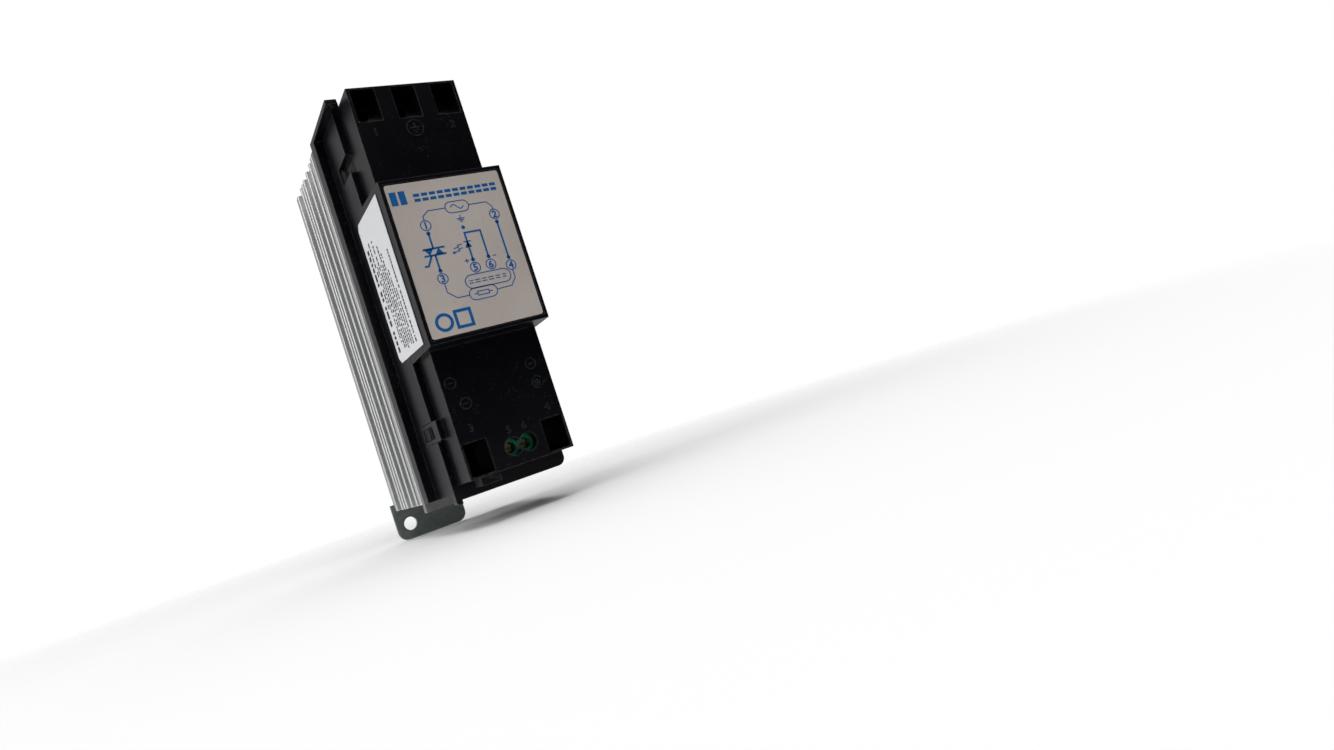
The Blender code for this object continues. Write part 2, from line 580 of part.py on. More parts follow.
def base_housing():
    """The lower shell: a tube with a flange, terminal seats at both ends, and the top wall."""
    body = box("base_housing", -HOUSING_HALF, HOUSING_HALF, HOUSING_BACK, RIM_FRONT,
               HOUSING_BOTTOM, HOUSING_TOP)
    join(body, box("housing_flange", -SINK_HALF, SINK_HALF, HOUSING_BACK, FLANGE_FRONT,
                   HOUSING_BOTTOM, HOUSING_TOP), housing_top_wall())
    cut(body, box("housing_middle", -CAVITY_HALF, CAVITY_HALF, HOUSING_BACK - SLOP,
                  RIM_FRONT + SLOP, BOTTOM_SEAT_Z, TOP_SEAT_Z))

    inside_top = HOUSING_TOP - END_WALL
    edge = (TOP_PITCH - DIVIDER) / 2
    cut(body, compartment("top_middle", -edge, edge, TOP_SEAT_Z - SLOP, inside_top))
    for side in (-1, 1):
        left, right = span(side, edge + DIVIDER, CAVITY_HALF)
        cut(body, compartment(f"top_room_{side}", left, right, TOP_SEAT_Z - SLOP, inside_top))

    inside_bottom = HOUSING_BOTTOM + END_WALL
    left = CONTROL_X - CONTROL_HALF - 2 * GAP
    right = CONTROL_X + CONTROL_HALF + 2 * GAP
    cut(body, compartment("bottom_middle", left, right, inside_bottom, BOTTOM_SEAT_Z + SLOP),
        compartment("bottom_left", -CAVITY_HALF, left - DIVIDER, inside_bottom, BOTTOM_SEAT_Z + SLOP),
        compartment("bottom_right", right + DIVIDER, CAVITY_HALF, inside_bottom, BOTTOM_SEAT_Z + SLOP))
    join(body, housing_lip())

    for label, (x, z) in POWER_TERMINALS.items():
        cut(body, rod(f"seat_pocket_{label}", x, z, HEAD_BACK - SCREW_LENGTH - SLOP,
                      SEAT_TOP + SLOP, SCREW_SHANK + 2 * SCREW_CLEARANCE, sides=FINE))
        end = inside_top if z > 0 else HOUSING_BOTTOM
        cut(body, box(f"wire_entry_{label}", x - BAR_WIDTH / 2, x + BAR_WIDTH / 2, BAR_FRONT,
                      BAR_FRONT + ENTRY_HEIGHT, end - SLOP, end + END_WALL + SLOP))
    for number, (x, z) in enumerate(HOUSING_SCREWS):
        cut(body, rod(f"housing_screw_hole_{number}", x, z, HOUSING_BACK - SLOP,
                      BASE_BACK + HOUSING_SCREW_LENGTH + GAP,
                      HOUSING_SCREW_SHANK + 2 * SCREW_CLEARANCE, sides=FINE))

    for side in (-1, 1):
        left, right = span(side, HOUSING_HALF - NOTCH_DEPTH, HOUSING_HALF + SLOP)
        cut(body, box(f"side_notch_{side}", left, right, RIM_FRONT - NOTCH_REACH, RIM_FRONT + SLOP,
                      NOTCH_TOP - NOTCH_LENGTH, NOTCH_TOP))
        left, right = span(side, HOUSING_HALF - ARM_THICKNESS - GAP, HOUSING_HALF + SLOP)
        cut(body, box(f"arm_slot_{side}", left, right, RIM_FRONT - ARM_REACH - GAP,
                      RIM_FRONT + SLOP, ARM_TOP - ARM_LENGTH - GAP, ARM_TOP + GAP))
        left, right = span(side, HOUSING_HALF - ARM_THICKNESS - 2 * GAP, HOUSING_HALF - GAP)
        edge = ARM_FRAME + GAP
        join(body, box(f"catch_{side}", left, right, RIM_FRONT - ARM_REACH + edge,
                       RIM_FRONT - ARM_REACH / 2, ARM_TOP - ARM_LENGTH + edge, ARM_TOP - edge))
        left, right = span(side, CAVITY_HALF - CORBEL_REACH, CAVITY_HALF + SLOP)
        for end, z in (("top", BOARD_TOP - CORBEL_LENGTH), ("bottom", BOARD_BOTTOM)):
            join(body, box(f"corbel_{end}_{side}", left, right, BOARD_BACK - GAP - CORBEL_HEIGHT,
                           BOARD_BACK - GAP, z, z + CORBEL_LENGTH))
    part(body, "black_plastic", PLASTIC_BLACK)


# ---- front cover and its labels -----------------------------------------------------------------
def raised_block():
    """The label block, whose two ends slope outwards a little towards the rim."""
    bm = bmesh.new()
    bmesh.ops.create_cube(bm, size=1.0)
    for vert in bm.verts:
        front = vert.co.y < 0
        reach = BLOCK_LENGTH / 2 + (0.0 if front else BLOCK_DRAFT)
        vert.co.x *= HOUSING_WIDTH
        vert.co.y = -(BLOCK_FRONT if front else COVER_BACK)
        vert.co.z = reach if vert.co.z > 0 else -reach
    return place("raised_block", bm)


def front_cover():
    """The upper shell: the terminal face with its wells, the raised block and two snap arms."""
    body = box("front_cover", -TERMINAL_HALF, TERMINAL_HALF, COVER_BACK, TERMINAL_FRONT,
               COVER_BOTTOM, COVER_TOP)
    tab_left = FOOT_TAB_LEFT - TERMINAL_HALF
    join(body, raised_block(),
         box("foot_tab", tab_left, tab_left + FOOT_TAB_WIDTH, TERMINAL_FRONT - FOOT_TAB_DEPTH,
             TERMINAL_FRONT - GAP, COVER_BOTTOM - FOOT_TAB_DROP, COVER_BOTTOM + WELL_RIM / 2))

    for side in (-1, 1):
        left, right = span(side, TERMINAL_HALF - SLOP, HOUSING_HALF)
        join(body, box(f"arm_root_{side}", left, right, COVER_BACK, COVER_BACK + ARM_ROOT,
                       ARM_TOP - ARM_LENGTH, ARM_TOP))
        left, right = span(side, HOUSING_HALF - ARM_THICKNESS, HOUSING_HALF)
        arm_back = RIM_FRONT - ARM_REACH
        arm = box(f"arm_{side}", left, right, arm_back, COVER_BACK + SLOP, ARM_TOP - ARM_LENGTH,
                  ARM_TOP)
        left, right = span(side, HOUSING_HALF - 2 * ARM_THICKNESS, HOUSING_HALF + SLOP)
        cut(arm, box(f"arm_window_{side}", left, right, arm_back + ARM_FRAME, RIM_FRONT - 2 * GAP,
                     ARM_TOP - ARM_LENGTH + ARM_FRAME, ARM_TOP - ARM_FRAME))
        join(body, arm)

    inner = HOUSING_HALF - COVER_WALL
    low = BOTTOM_WELL_Z + WELL_LENGTH / 2 + WELL_BACKING
    high = TOP_WELL_Z - WELL_LENGTH / 2 - WELL_BACKING
    block_inner = BLOCK_LENGTH / 2 - COVER_WALL
    cut(body, box("cover_hollow", -TERMINAL_HALF + COVER_WALL, TERMINAL_HALF - COVER_WALL,
                  COVER_BACK - SLOP, TERMINAL_FRONT - COVER_WALL, low, high),
        box("block_hollow", -inner, inner, COVER_BACK - SLOP, BLOCK_FRONT - 2 * COVER_WALL,
            -block_inner, block_inner))

    for label, (x, z) in POWER_TERMINALS.items():
        cut(body, box(f"well_{label}", x - WELL_WIDTH / 2, x + WELL_WIDTH / 2, COVER_BACK - SLOP,
                      TERMINAL_FRONT + SLOP, z - WELL_LENGTH / 2, z + WELL_LENGTH / 2))

    cut(body, box("control_room", CONTROL_X - CONTROL_HALF - GAP, CONTROL_X + CONTROL_HALF + GAP,
                  COVER_BACK - SLOP, CONTROL_FRONT + COLLAR_HEIGHT + GAP, COVER_BOTTOM - SLOP,
                  CONTROL_Z + CONTROL_LENGTH / 2 + GAP))
    for label, x in CONTROL_TERMINALS.items():
        cut(body, rod(f"control_opening_{label}", x, CONTROL_Z, CONTROL_FRONT, TERMINAL_FRONT + SLOP,
                      CONTROL_OPENING))
    cut(body, rod("light_pipe_hole", LED_X, LED_Z, TERMINAL_FRONT - 2 * COVER_WALL,
                  TERMINAL_FRONT + SLOP, PIPE_HOLE))
    cut(body, box("label_recess", -LABEL_WIDTH / 2 - GAP, LABEL_WIDTH / 2 + GAP,
                  BLOCK_FRONT - LABEL_RECESS, BLOCK_FRONT + SLOP, -LABEL_LENGTH / 2 - GAP,
                  LABEL_LENGTH / 2 + GAP))
    part(body, "black_plastic_cover", PLASTIC_BLACK)


def front_label():
    """The printed plate in the block's recess."""
    half_x = LABEL_WIDTH / 2
    half_z = LABEL_LENGTH / 2
    outline = [(-half_x, -half_z), (half_x, -half_z), (half_x, half_z), (-half_x, half_z)]
    back = BLOCK_FRONT - LABEL_RECESS + STICKER_GAP
    body = prism("front_label", rounded(outline, LABEL_CORNER, {0, 1, 2, 3}), back,
                 back + LABEL_THICKNESS, along='Y')
    part(body, "label_grey", LABEL_GREY)


def side_label():
    """The paper label on the left side, across the joint between cover and housing."""
    front = BLOCK_FRONT - SIDE_LABEL_FRONT_MARGIN
    back = front - SIDE_LABEL_WIDTH
    half = BLOCK_LENGTH / 2 - SIDE_LABEL_MARGIN
    clip = SIDE_LABEL_CLIP
    corners = [(front, half), (back + clip, half), (back, half - clip), (back, clip - half),
               (back + clip, -half), (front, -half)]
    inner = -HOUSING_HALF - STICKER_GAP
    part(profile("side_label", corners, inner, inner - SIDE_LABEL_THICKNESS), "paper_white",
         PAPER_WHITE)


# ---- terminals ----------------------------------------------------------------------------------
def screw(name, x, z, head_back, shank, length, head, head_height, look_name, look, countersunk=False):
    """A slotted screw whose head faces the front, or is sunk towards the panel."""
    if countersunk:
        body = rod(name, x, z, head_back + GAP, head_back + length, shank, sides=FINE)
        join(body, countersink(name + "_head", x, z, head_back, head, shank))
        slot_back = head_back - SLOP
        slot_front = head_back + SLOT_DEPTH / 2
    else:
        body = rod(name, x, z, head_back - length, head_back + head_height / 2, shank, sides=FINE)
        join(body, rod(name + "_head", x, z, head_back, head_back + head_height, head, head * 0.9))
        slot_back = head_back + head_height - min(SLOT_DEPTH, head_height / 2)
        slot_front = head_back + head_height + SLOP
    slot = min(SLOT_WIDTH, head / 5)
    cut(body, box(name + "_slot", x - head, x + head, slot_back, slot_front, z - slot / 2,
                  z + slot / 2))
    part(body, look_name, look)


def power_terminal(label, x, z):
    """The clamp plate that slides and the screw that turns in it."""
    body = box(f"clamp_plate_{label}", x - CLAMP_WIDTH / 2, x + CLAMP_WIDTH / 2, CLAMP_BACK,
               CLAMP_FRONT, z - CLAMP_LENGTH / 2, z + CLAMP_LENGTH / 2)
    cut(body, rod(f"clamp_hole_{label}", x, z, CLAMP_BACK - SLOP, CLAMP_FRONT + SLOP,
                  SCREW_SHANK + 2 * SCREW_CLEARANCE, sides=FINE))
    part(body, "nickel", NICKEL)
    screw(f"terminal_screw_{label}", x, z, HEAD_BACK, SCREW_SHANK, SCREW_LENGTH, SCREW_HEAD,
          SCREW_HEAD_HEIGHT, "nickel_screw", NICKEL)


def bar(name, x, bottom, top, holes, look_name, look):
    """A flat conductor in the plane of the terminal seats, with a hole for each screw."""
    body = box(name, x - BAR_WIDTH / 2, x + BAR_WIDTH / 2, BAR_BACK, BAR_FRONT, bottom, top)
    for number, (hole_z, shank) in enumerate(holes):
        cut(body, rod(f"{name}_hole_{number}", x, hole_z, BAR_BACK - SLOP, BAR_FRONT + SLOP,
                      shank + 2 * SCREW_CLEARANCE, sides=FINE))
    part(body, look_name, look)


def through_link(bottom, top):
    """The conductor from terminal 2 to terminal 4, with a jog between their two X."""
    half = BAR_WIDTH / 2
    upper = TOP_PITCH
    lower = BOTTOM_PITCH / 2
    jog = MODULE_SCREW_Z
    outline = [(lower - half, bottom), (lower + half, bottom), (lower + half, -jog),
               (upper + half, jog), (upper + half, top), (upper - half, top),
               (upper - half, jog), (lower - half, -jog)]
    body = prism("through_link_2_4", outline, BAR_BACK, BAR_FRONT, along='Y')
    for number, (x, z) in enumerate(((upper, TOP_WELL_Z), (lower, BOTTOM_WELL_Z))):
        cut(body, rod(f"link_hole_{number}", x, z, BAR_BACK - SLOP, BAR_FRONT + SLOP,
                      SCREW_SHANK + 2 * SCREW_CLEARANCE, sides=FINE))
    part(body, "copper", COPPER)


def conductors():
    """The bars from terminals 1 and 3 to the module, and the link from 2 to 4."""
    top = TOP_WELL_Z + CLAMP_LENGTH / 2
    bottom = BOTTOM_WELL_Z - CLAMP_LENGTH / 2
    bar("busbar_1", -TOP_PITCH, MODULE_SCREW_Z - BAR_WIDTH / 2, top,
        [(TOP_WELL_Z, SCREW_SHANK), (MODULE_SCREW_Z, SMALL_SHANK)], "copper", COPPER)
    bar("busbar_3", -BOTTOM_PITCH / 2, bottom, BAR_WIDTH / 2 - MODULE_SCREW_Z,
        [(BOTTOM_WELL_Z, SCREW_SHANK), (-MODULE_SCREW_Z, SMALL_SHANK)], "copper", COPPER)
    through_link(bottom, top)
    for label, (x, z) in MODULE_SCREWS.items():
        screw(f"module_screw_{label}", x, z, BAR_FRONT + GAP, SMALL_SHANK, MODULE_SCREW_LENGTH,
              SMALL_HEAD, SMALL_HEAD_HEIGHT, "nickel_screw", NICKEL)


def earth_strap():
    """The bent strap from the earth terminal to the base plate."""
    half = BAR_WIDTH / 2
    top = TOP_WELL_Z + CLAMP_LENGTH / 2
    foot_back = BASE_FRONT + GAP
    foot_front = foot_back + BAR_THICKNESS
    leg_top = STRAP_Z + BAR_THICKNESS
    body = profile("earth_strap",
                   [(BAR_FRONT, top), (BAR_FRONT, STRAP_Z), (foot_front, STRAP_Z),
                    (foot_front, STRAP_Z - STRAP_FOOT), (foot_back, STRAP_Z - STRAP_FOOT),
                    (foot_back, leg_top), (BAR_BACK, leg_top), (BAR_BACK, top)], -half, half)
    cut(body, rod("earth_strap_hole", 0, TOP_WELL_Z, BAR_BACK - SLOP, BAR_FRONT + SLOP,
                  SCREW_SHANK + 2 * SCREW_CLEARANCE, sides=FINE),
        rod("earth_foot_hole", 0, STRAP_SCREW_Z, foot_back - SLOP, foot_front + SLOP,
            SMALL_SHANK + 2 * SCREW_CLEARANCE, sides=FINE))
    part(body, "brass", BRASS)
    screw("earth_foot_screw", 0, STRAP_SCREW_Z, foot_front + GAP, SMALL_SHANK,
          EARTH_SCREW_LENGTH, SMALL_HEAD, SMALL_HEAD_HEIGHT, "nickel_screw", NICKEL)


# Places inside the control terminal block, from its front towards the circuit board.
CONTROL_HEAD_FRONT = CONTROL_FRONT - GAP
CONTROL_HEAD_BACK = CONTROL_HEAD_FRONT - CONTROL_HEAD_HEIGHT
CAGE_FRONT = CONTROL_HEAD_BACK - 2 * GAP
CAGE_BACK = CAGE_FRONT - 2 * CAGE_WALL - CAGE_OPEN
CONTACT_BACK = CAGE_BACK + CAGE_WALL + GAP
CONTACT_FRONT = CONTACT_BACK + CONTACT_THICKNESS
CONTROL_BOTTOM = CONTROL_Z - CONTROL_LENGTH / 2


def control_block():
    """The green two-way block, open at the back where it stands on the circuit board."""
    body = box("control_terminal_block", CONTROL_X - CONTROL_HALF, CONTROL_X + CONTROL_HALF,
               CONTROL_BACK, CONTROL_FRONT, CONTROL_BOTTOM, CONTROL_Z + CONTROL_LENGTH / 2)
    for label, x in CONTROL_TERMINALS.items():
        join(body, rod(f"collar_{label}", x, CONTROL_Z, CONTROL_FRONT - SLOP,
                       CONTROL_FRONT + COLLAR_HEIGHT, COLLAR_WIDTH))
    for label, x in CONTROL_TERMINALS.items():
        room = CAGE_WIDTH / 2 + GAP
        cut(body, rod(f"control_bore_{label}", x, CONTROL_Z, CONTROL_HEAD_BACK - GAP,
                      CONTROL_FRONT + COLLAR_HEIGHT + SLOP, CONTROL_HEAD + 2 * GAP),
            box(f"cage_room_{label}", x - room, x + room, CONTROL_BACK - SLOP,
                CONTROL_HEAD_BACK - GAP, CONTROL_Z - CAGE_LENGTH / 2 - GAP,
                CONTROL_Z + CAGE_LENGTH / 2 + GAP),
            box(f"control_entry_{label}", x - CAGE_WIDTH / 2 + CAGE_WALL,
                x + CAGE_WIDTH / 2 - CAGE_WALL, CONTACT_BACK - CAGE_TRAVEL - GAP, CONTACT_BACK,
                CONTROL_BOTTOM - SLOP, CONTROL_Z))
    part(body, "green_plastic", GREEN)


def control_terminal(label, x):
    """A captive screw, the cage that it lifts, and the contact that the wire is pressed against."""
    screw(f"control_screw_{label}", x, CONTROL_Z, CONTROL_HEAD_BACK, CONTROL_SHANK,
          CONTROL_SCREW_LENGTH, CONTROL_HEAD, CONTROL_HEAD_HEIGHT, "brass_screw", BRASS)

    half = CAGE_WIDTH / 2
    body = box(f"control_cage_{label}", x - half, x + half, CAGE_BACK, CAGE_FRONT,
               CONTROL_Z - CAGE_LENGTH / 2, CONTROL_Z + CAGE_LENGTH / 2)
    cut(body, box(f"cage_window_{label}", x - half + CAGE_WALL, x + half - CAGE_WALL,
                  CAGE_BACK + CAGE_WALL, CAGE_FRONT - CAGE_WALL, CONTROL_Z - CAGE_LENGTH,
                  CONTROL_Z + CAGE_LENGTH),
        rod(f"cage_hole_{label}", x, CONTROL_Z, CAGE_FRONT - CAGE_WALL - SLOP, CAGE_FRONT + SLOP,
            CONTROL_SHANK + SCREW_CLEARANCE, sides=FINE))
    part(body, "nickel", NICKEL)

    contact = box(f"control_contact_{label}", x - CONTACT_WIDTH / 2, x + CONTACT_WIDTH / 2,
                  CONTACT_BACK, CONTACT_FRONT, CONTROL_Z - CAGE_LENGTH / 2,
                  CONTROL_Z + CAGE_LENGTH / 2 + GAP / 2)
    part(contact, "tinned_contact", NICKEL)


# ---- inside -------------------------------------------------------------------------------------
def power_module():
    """The moulded switching module on the base plate, with its two trigger pins."""
    half = MODULE_WIDTH / 2
    length = RELAY_SCREW_Z - SCREW_HEAD / 2 - GAP
    body = box("power_module", -half, half, MODULE_BACK, MODULE_FRONT, -length, length)
    for side in (-1, 1):
        join(body, rod(f"module_pin_{side}", side * MODULE_PIN_SPACING / 2, 0, MODULE_FRONT - SLOP,
                       BOARD_FRONT + GAP, MODULE_PIN, sides=FINE))
    hole = SMALL_SHANK + 2 * SCREW_CLEARANCE
    floor = BAR_FRONT - MODULE_SCREW_LENGTH
    for label, (x, z) in MODULE_SCREWS.items():
        cut(body, box(f"module_nut_room_{label}", -half - SLOP, x + hole, floor,
                      MODULE_FRONT + SLOP, z - hole, z + hole))
    part(body, "module_grey", MODULE_GREY)


def relay_screws():
    """The two screws that pull the relay onto its heat sink."""
    for side, name in ((-1, "lower"), (1, "upper")):
        screw(f"relay_screw_{name}", 0, side * RELAY_SCREW_Z, BASE_FRONT + GAP, SCREW_SHANK,
              RELAY_SCREW_LENGTH, SCREW_HEAD, SCREW_HEAD_HEIGHT, "steel_screw", ZINC_STEEL)


def hidden_screws():
    """Countersunk screws: four hold the housing to its base, two hold the mounting plate."""
    for number, (x, z) in enumerate(HOUSING_SCREWS):
        screw(f"housing_screw_{number + 1}", x, z, BASE_BACK + GAP / 2, HOUSING_SCREW_SHANK,
              HOUSING_SCREW_LENGTH, HOUSING_SCREW_HEAD, 0.0, "steel_screw", ZINC_STEEL,
              countersunk=True)
    for side, name in ((-1, "lower"), (1, "upper")):
        screw(f"plate_screw_{name}", 0, side * PLATE_SCREW_SPAN / 2, GAP / 2, SCREW_SHANK,
              RELAY_SCREW_LENGTH / 2, PLATE_SCREW_HEAD, 0.0, "steel_screw", ZINC_STEEL,
              countersunk=True)


def circuit_board():
    """The board behind the cover, with a tongue down to the control terminal block."""
    half = CAVITY_HALF - BOARD_MARGIN
    left = CONTROL_X - CONTROL_HALF
    right = CONTROL_X + CONTROL_HALF
    body = box("circuit_board", -half, half, BOARD_BACK, BOARD_FRONT, BOARD_BOTTOM, BOARD_TOP)
    join(body, box("board_tongue", left, right, BOARD_BACK, BOARD_FRONT, CONTROL_BOTTOM,
                   BOARD_BOTTOM + SLOP))
    for side in (-1, 1):
        cut(body, rod(f"pin_hole_{side}", side * MODULE_PIN_SPACING / 2, 0, BOARD_BACK - SLOP,
                      BOARD_FRONT + SLOP, MODULE_PIN + 2 * SCREW_CLEARANCE, sides=FINE))
    part(body, "board_green", BOARD_GREEN)


def board_parts():
    """What stands on the board: trigger, snubber, surge protection and the status lamp."""
    seat = BOARD_FRONT + GAP
    for name, (x, z, width, length, height), look_name, look in (
            ("optocoupler", OPTOCOUPLER, "chip_black", MODULE_GREY),
            ("snubber_capacitor", CAPACITOR, "capacitor_blue", CAPACITOR_BLUE)):
        body = box(name, x - width / 2, x + width / 2, seat, seat + height, z - length / 2,
                   z + length / 2)
        part(body, look_name, look)
    x, z, diameter, height = VARISTOR
    part(rod("varistor", x, z, seat, seat + height, diameter), "varistor_tan", RESISTOR_TAN)

    for name, (x, z, diameter, length) in (("snubber_resistor", SNUBBER_RESISTOR),
                                           ("input_resistor", INPUT_RESISTOR)):
        bm = bmesh.new()
        bmesh.ops.create_cone(bm, cap_ends=True, segments=FINE, radius1=diameter / 2,
                              radius2=diameter / 2, depth=length)
        bmesh.ops.translate(bm, vec=(x, -seat - diameter / 2, z), verts=bm.verts)
        part(place(name, bm), "resistor_tan", RESISTOR_TAN)

    lamp = rod("status_led", LED_X, LED_Z, seat, seat + LED_HEIGHT, LED_DIAMETER, sides=FINE)
    part(lamp, "led_red", LED_RED)
    pipe = rod("light_pipe", LED_X, LED_Z, seat + LED_HEIGHT + GAP, TERMINAL_FRONT - PIPE_RECESS,
               PIPE_DIAMETER, sides=FINE)
    part(pipe, "clear_plastic", CLEAR)


def main():
    heat_sink()
    base_plate()
    mounting_plate()
    thermal_pad()
    base_housing()
    front_cover()
    front_label()
    side_label()
    for label, (x, z) in POWER_TERMINALS.items():
        power_terminal(label, x, z)
    conductors()
    earth_strap()
    control_block()
    for label, x in CONTROL_TERMINALS.items():
        control_terminal(label, x)
    power_module()
    relay_screws()
    hidden_screws()
    circuit_board()
    board_parts()


main()
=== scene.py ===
"""Looks of a slim solid state relay on its finned heat sink, laid out as an add-on.

Sizes are in millimetres where a name says so, and in metres elsewhere.  X is to the right seen from
the front, -Y is towards the label face and Z is up along the relay.
"""
from math import cos, pi, radians, sin
from random import Random

import bmesh
import bpy
from mathutils import Matrix, Vector


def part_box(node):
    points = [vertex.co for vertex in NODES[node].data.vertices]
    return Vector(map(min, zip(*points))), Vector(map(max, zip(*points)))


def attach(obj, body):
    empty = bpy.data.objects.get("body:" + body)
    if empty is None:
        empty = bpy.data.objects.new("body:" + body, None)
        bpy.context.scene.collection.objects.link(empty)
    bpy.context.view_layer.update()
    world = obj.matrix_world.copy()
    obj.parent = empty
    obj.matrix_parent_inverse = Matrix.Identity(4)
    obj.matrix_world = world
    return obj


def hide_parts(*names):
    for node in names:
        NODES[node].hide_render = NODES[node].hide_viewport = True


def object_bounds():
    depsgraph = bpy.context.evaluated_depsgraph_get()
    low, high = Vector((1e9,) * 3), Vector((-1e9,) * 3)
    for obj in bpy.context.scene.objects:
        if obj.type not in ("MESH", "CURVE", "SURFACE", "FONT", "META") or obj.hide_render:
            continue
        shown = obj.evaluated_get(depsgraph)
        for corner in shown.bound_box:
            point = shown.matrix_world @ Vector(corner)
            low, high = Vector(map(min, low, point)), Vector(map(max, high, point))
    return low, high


bl_info = {
    "name": "Slim solid state relay",
    "version": (1, 0, 0),
    "blender": (4, 5, 0),
    "location": "View3D > Sidebar > Relay",
    "description": "Builds the moulded, metal and printed pieces of a slim solid state relay",
    "category": "Object",
}

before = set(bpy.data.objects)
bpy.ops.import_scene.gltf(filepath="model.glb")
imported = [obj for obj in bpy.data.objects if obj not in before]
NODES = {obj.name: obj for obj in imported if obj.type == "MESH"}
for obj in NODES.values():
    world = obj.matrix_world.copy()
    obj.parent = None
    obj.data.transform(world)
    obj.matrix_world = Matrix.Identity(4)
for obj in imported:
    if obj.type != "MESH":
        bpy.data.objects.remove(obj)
CAD_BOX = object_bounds()
MM = 0.001
PIPE_SETBACK = 0.6 * MM  # from the terminal face back to the end of the light pipe
TERMINALS = ("1", "2", "3", "4", "earth")
CONTROLS = ("5", "6")


# ---- shader maths -------------------------------------------------------------------------------
class Value:
    """A socket that holds a number; an expression on it adds the Math nodes."""

    def __init__(self, tree, socket):
        self.tree = tree
        self.socket = socket

    def combine(self, operation, first, second, clamp=False):
        node = self.tree.nodes.new("ShaderNodeMath")
        node.operation = operation
        node.use_clamp = clamp
        for place, item in enumerate((first, second)):
            if isinstance(item, Value):
                self.tree.links.new(item.socket, node.inputs[place])
            else:
                node.inputs[place].default_value = item
        return Value(self.tree, node.outputs[0])

    def __add__(self, other):
        return self.combine('ADD', self, other)

    def __radd__(self, other):
        return self.combine('ADD', other, self)

    def __sub__(self, other):
        return self.combine('SUBTRACT', self, other)

    def __rsub__(self, other):
        return self.combine('SUBTRACT', other, self)

    def __mul__(self, other):
        return self.combine('MULTIPLY', self, other)

    def __rmul__(self, other):
        return self.combine('MULTIPLY', other, self)

    def above(self, edge, soft):
        """0 below the edge, 1 a soft step above it."""
        return self.combine('MULTIPLY', self - edge, 1.0 / soft, clamp=True)

    def below(self, edge, soft):
        return 1.0 - self.above(edge, soft)


class Finish:
    """A material whose Principled shader is fed by expressions."""

    def __init__(self, name, **constants):
        self.material = bpy.data.materials.new(name)
        self.material.use_nodes = True
        self.tree = self.material.node_tree
        self.shader = self.tree.nodes["Principled BSDF"]
        for socket, number in constants.items():
            self.shader.inputs[socket.replace("_", " ")].default_value = number
        self.place = self.node("ShaderNodeTexCoord")["Object"]

    def node(self, kind, settings=None, inputs=None):
        """One node of a kind: its settings first, then values or links for its sockets."""
        made = self.tree.nodes.new(kind)
        for name, setting in (settings or {}).items():
            setattr(made, name, setting)
        for name, item in (inputs or {}).items():
            socket = made.inputs[name]
            if isinstance(item, Value):
                self.tree.links.new(item.socket, socket)
            elif isinstance(item, bpy.types.NodeSocket):
                self.tree.links.new(item, socket)
            else:
                socket.default_value = item
        return made.outputs

    def noise(self, per_mm, detail=3.0, rough=0.55, stretch=(1.0, 1.0, 1.0)):
        """Noise with that many cells to a millimetre, stretched along the axes."""
        scaled = self.node("ShaderNodeMapping", None, {"Vector": self.place, "Scale": stretch})
        out = self.node("ShaderNodeTexNoise", None,
                        {"Vector": scaled["Vector"], "Scale": per_mm / MM, "Detail": detail,
                         "Roughness": rough})
        return Value(self.tree, out["Fac"])

    def cells(self, per_mm, feature='F1'):
        out = self.node("ShaderNodeTexVoronoi", {"feature": feature},
                        {"Vector": self.place, "Scale": per_mm / MM})
        return Value(self.tree, out["Distance"])

    def edges(self, radius_mm):
        """1 on an outside edge or corner and 0 on a flat face."""
        smooth = self.node("ShaderNodeBevel", {"samples": 4}, {"Radius": radius_mm * MM})
        flat = self.node("ShaderNodeNewGeometry")
        out = self.node("ShaderNodeVectorMath", {"operation": 'DOT_PRODUCT'},
                        {0: smooth["Normal"], 1: flat["Normal"]})
        return Value(self.tree, out["Value"]).below(0.90, 0.08)

    def mix(self, factor, first, second):
        """A colour between two others."""
        out = self.node("ShaderNodeMix", {"data_type": 'RGBA'})
        made = out[2].node
        self.tree.links.new(factor.socket, made.inputs[0])
        for place, item in ((6, first), (7, second)):
            if isinstance(item, bpy.types.NodeSocket):
                self.tree.links.new(item, made.inputs[place])
            else:
                made.inputs[place].default_value = (*item[:3], 1.0)
        return out[2]

    def feed(self, **sockets):
        for name, item in sockets.items():
            link = item.socket if isinstance(item, Value) else item
            self.tree.links.new(link, self.shader.inputs[name.replace("_", " ")])
        return self

    def bump(self, height, strength, distance_mm):
        out = self.node("ShaderNodeBump", None, {"Height": height, "Strength": strength,
                                                "Distance": distance_mm * MM})
        return self.feed(Normal=out["Normal"])


def shade(colour, factor):
    return tuple(min(1.0, part * factor) for part in colour[:3])


def black_plastic(colour):
    """Moulded black plastic: a fine spark texture, cloudy gloss, dust, and edges lightened in
    patches, which is partly wear and partly a painted highlight.
    """
    finish = Finish("moulded_black_plastic", Specular_IOR_Level=0.21)
    cloud = finish.noise(0.06, detail=4.0)
    grain = finish.noise(3.2, detail=2.0)
    dust = finish.noise(1.3, detail=1.0).above(0.67, 0.05) * finish.noise(0.09).above(0.40, 0.2)
    scuff = finish.noise(0.55, detail=3.0, stretch=(1.0, 1.0, 0.12)).above(0.64, 0.05)
    # lighter patches along the outside edges: partly wear, partly a painted edge highlight
    paler_patches = finish.edges(0.45) * finish.noise(0.5).above(0.28, 0.25)
    base = finish.mix(cloud, shade(colour, 0.75), shade(colour, 1.25))
    base = finish.mix(dust * 0.20, base, (0.12, 0.12, 0.13))
    # the lighter grey on those edges is wear together with a painted highlight
    base = finish.mix(paler_patches * 0.55, base, (0.13, 0.13, 0.145))
    finish.feed(Base_Color=base,
                Roughness=0.24 + cloud * 0.16 + dust * 0.30 + scuff * 0.12 - paler_patches * 0.06)
    finish.bump(grain + scuff * 0.3, 0.16, 0.02)
    return finish.material


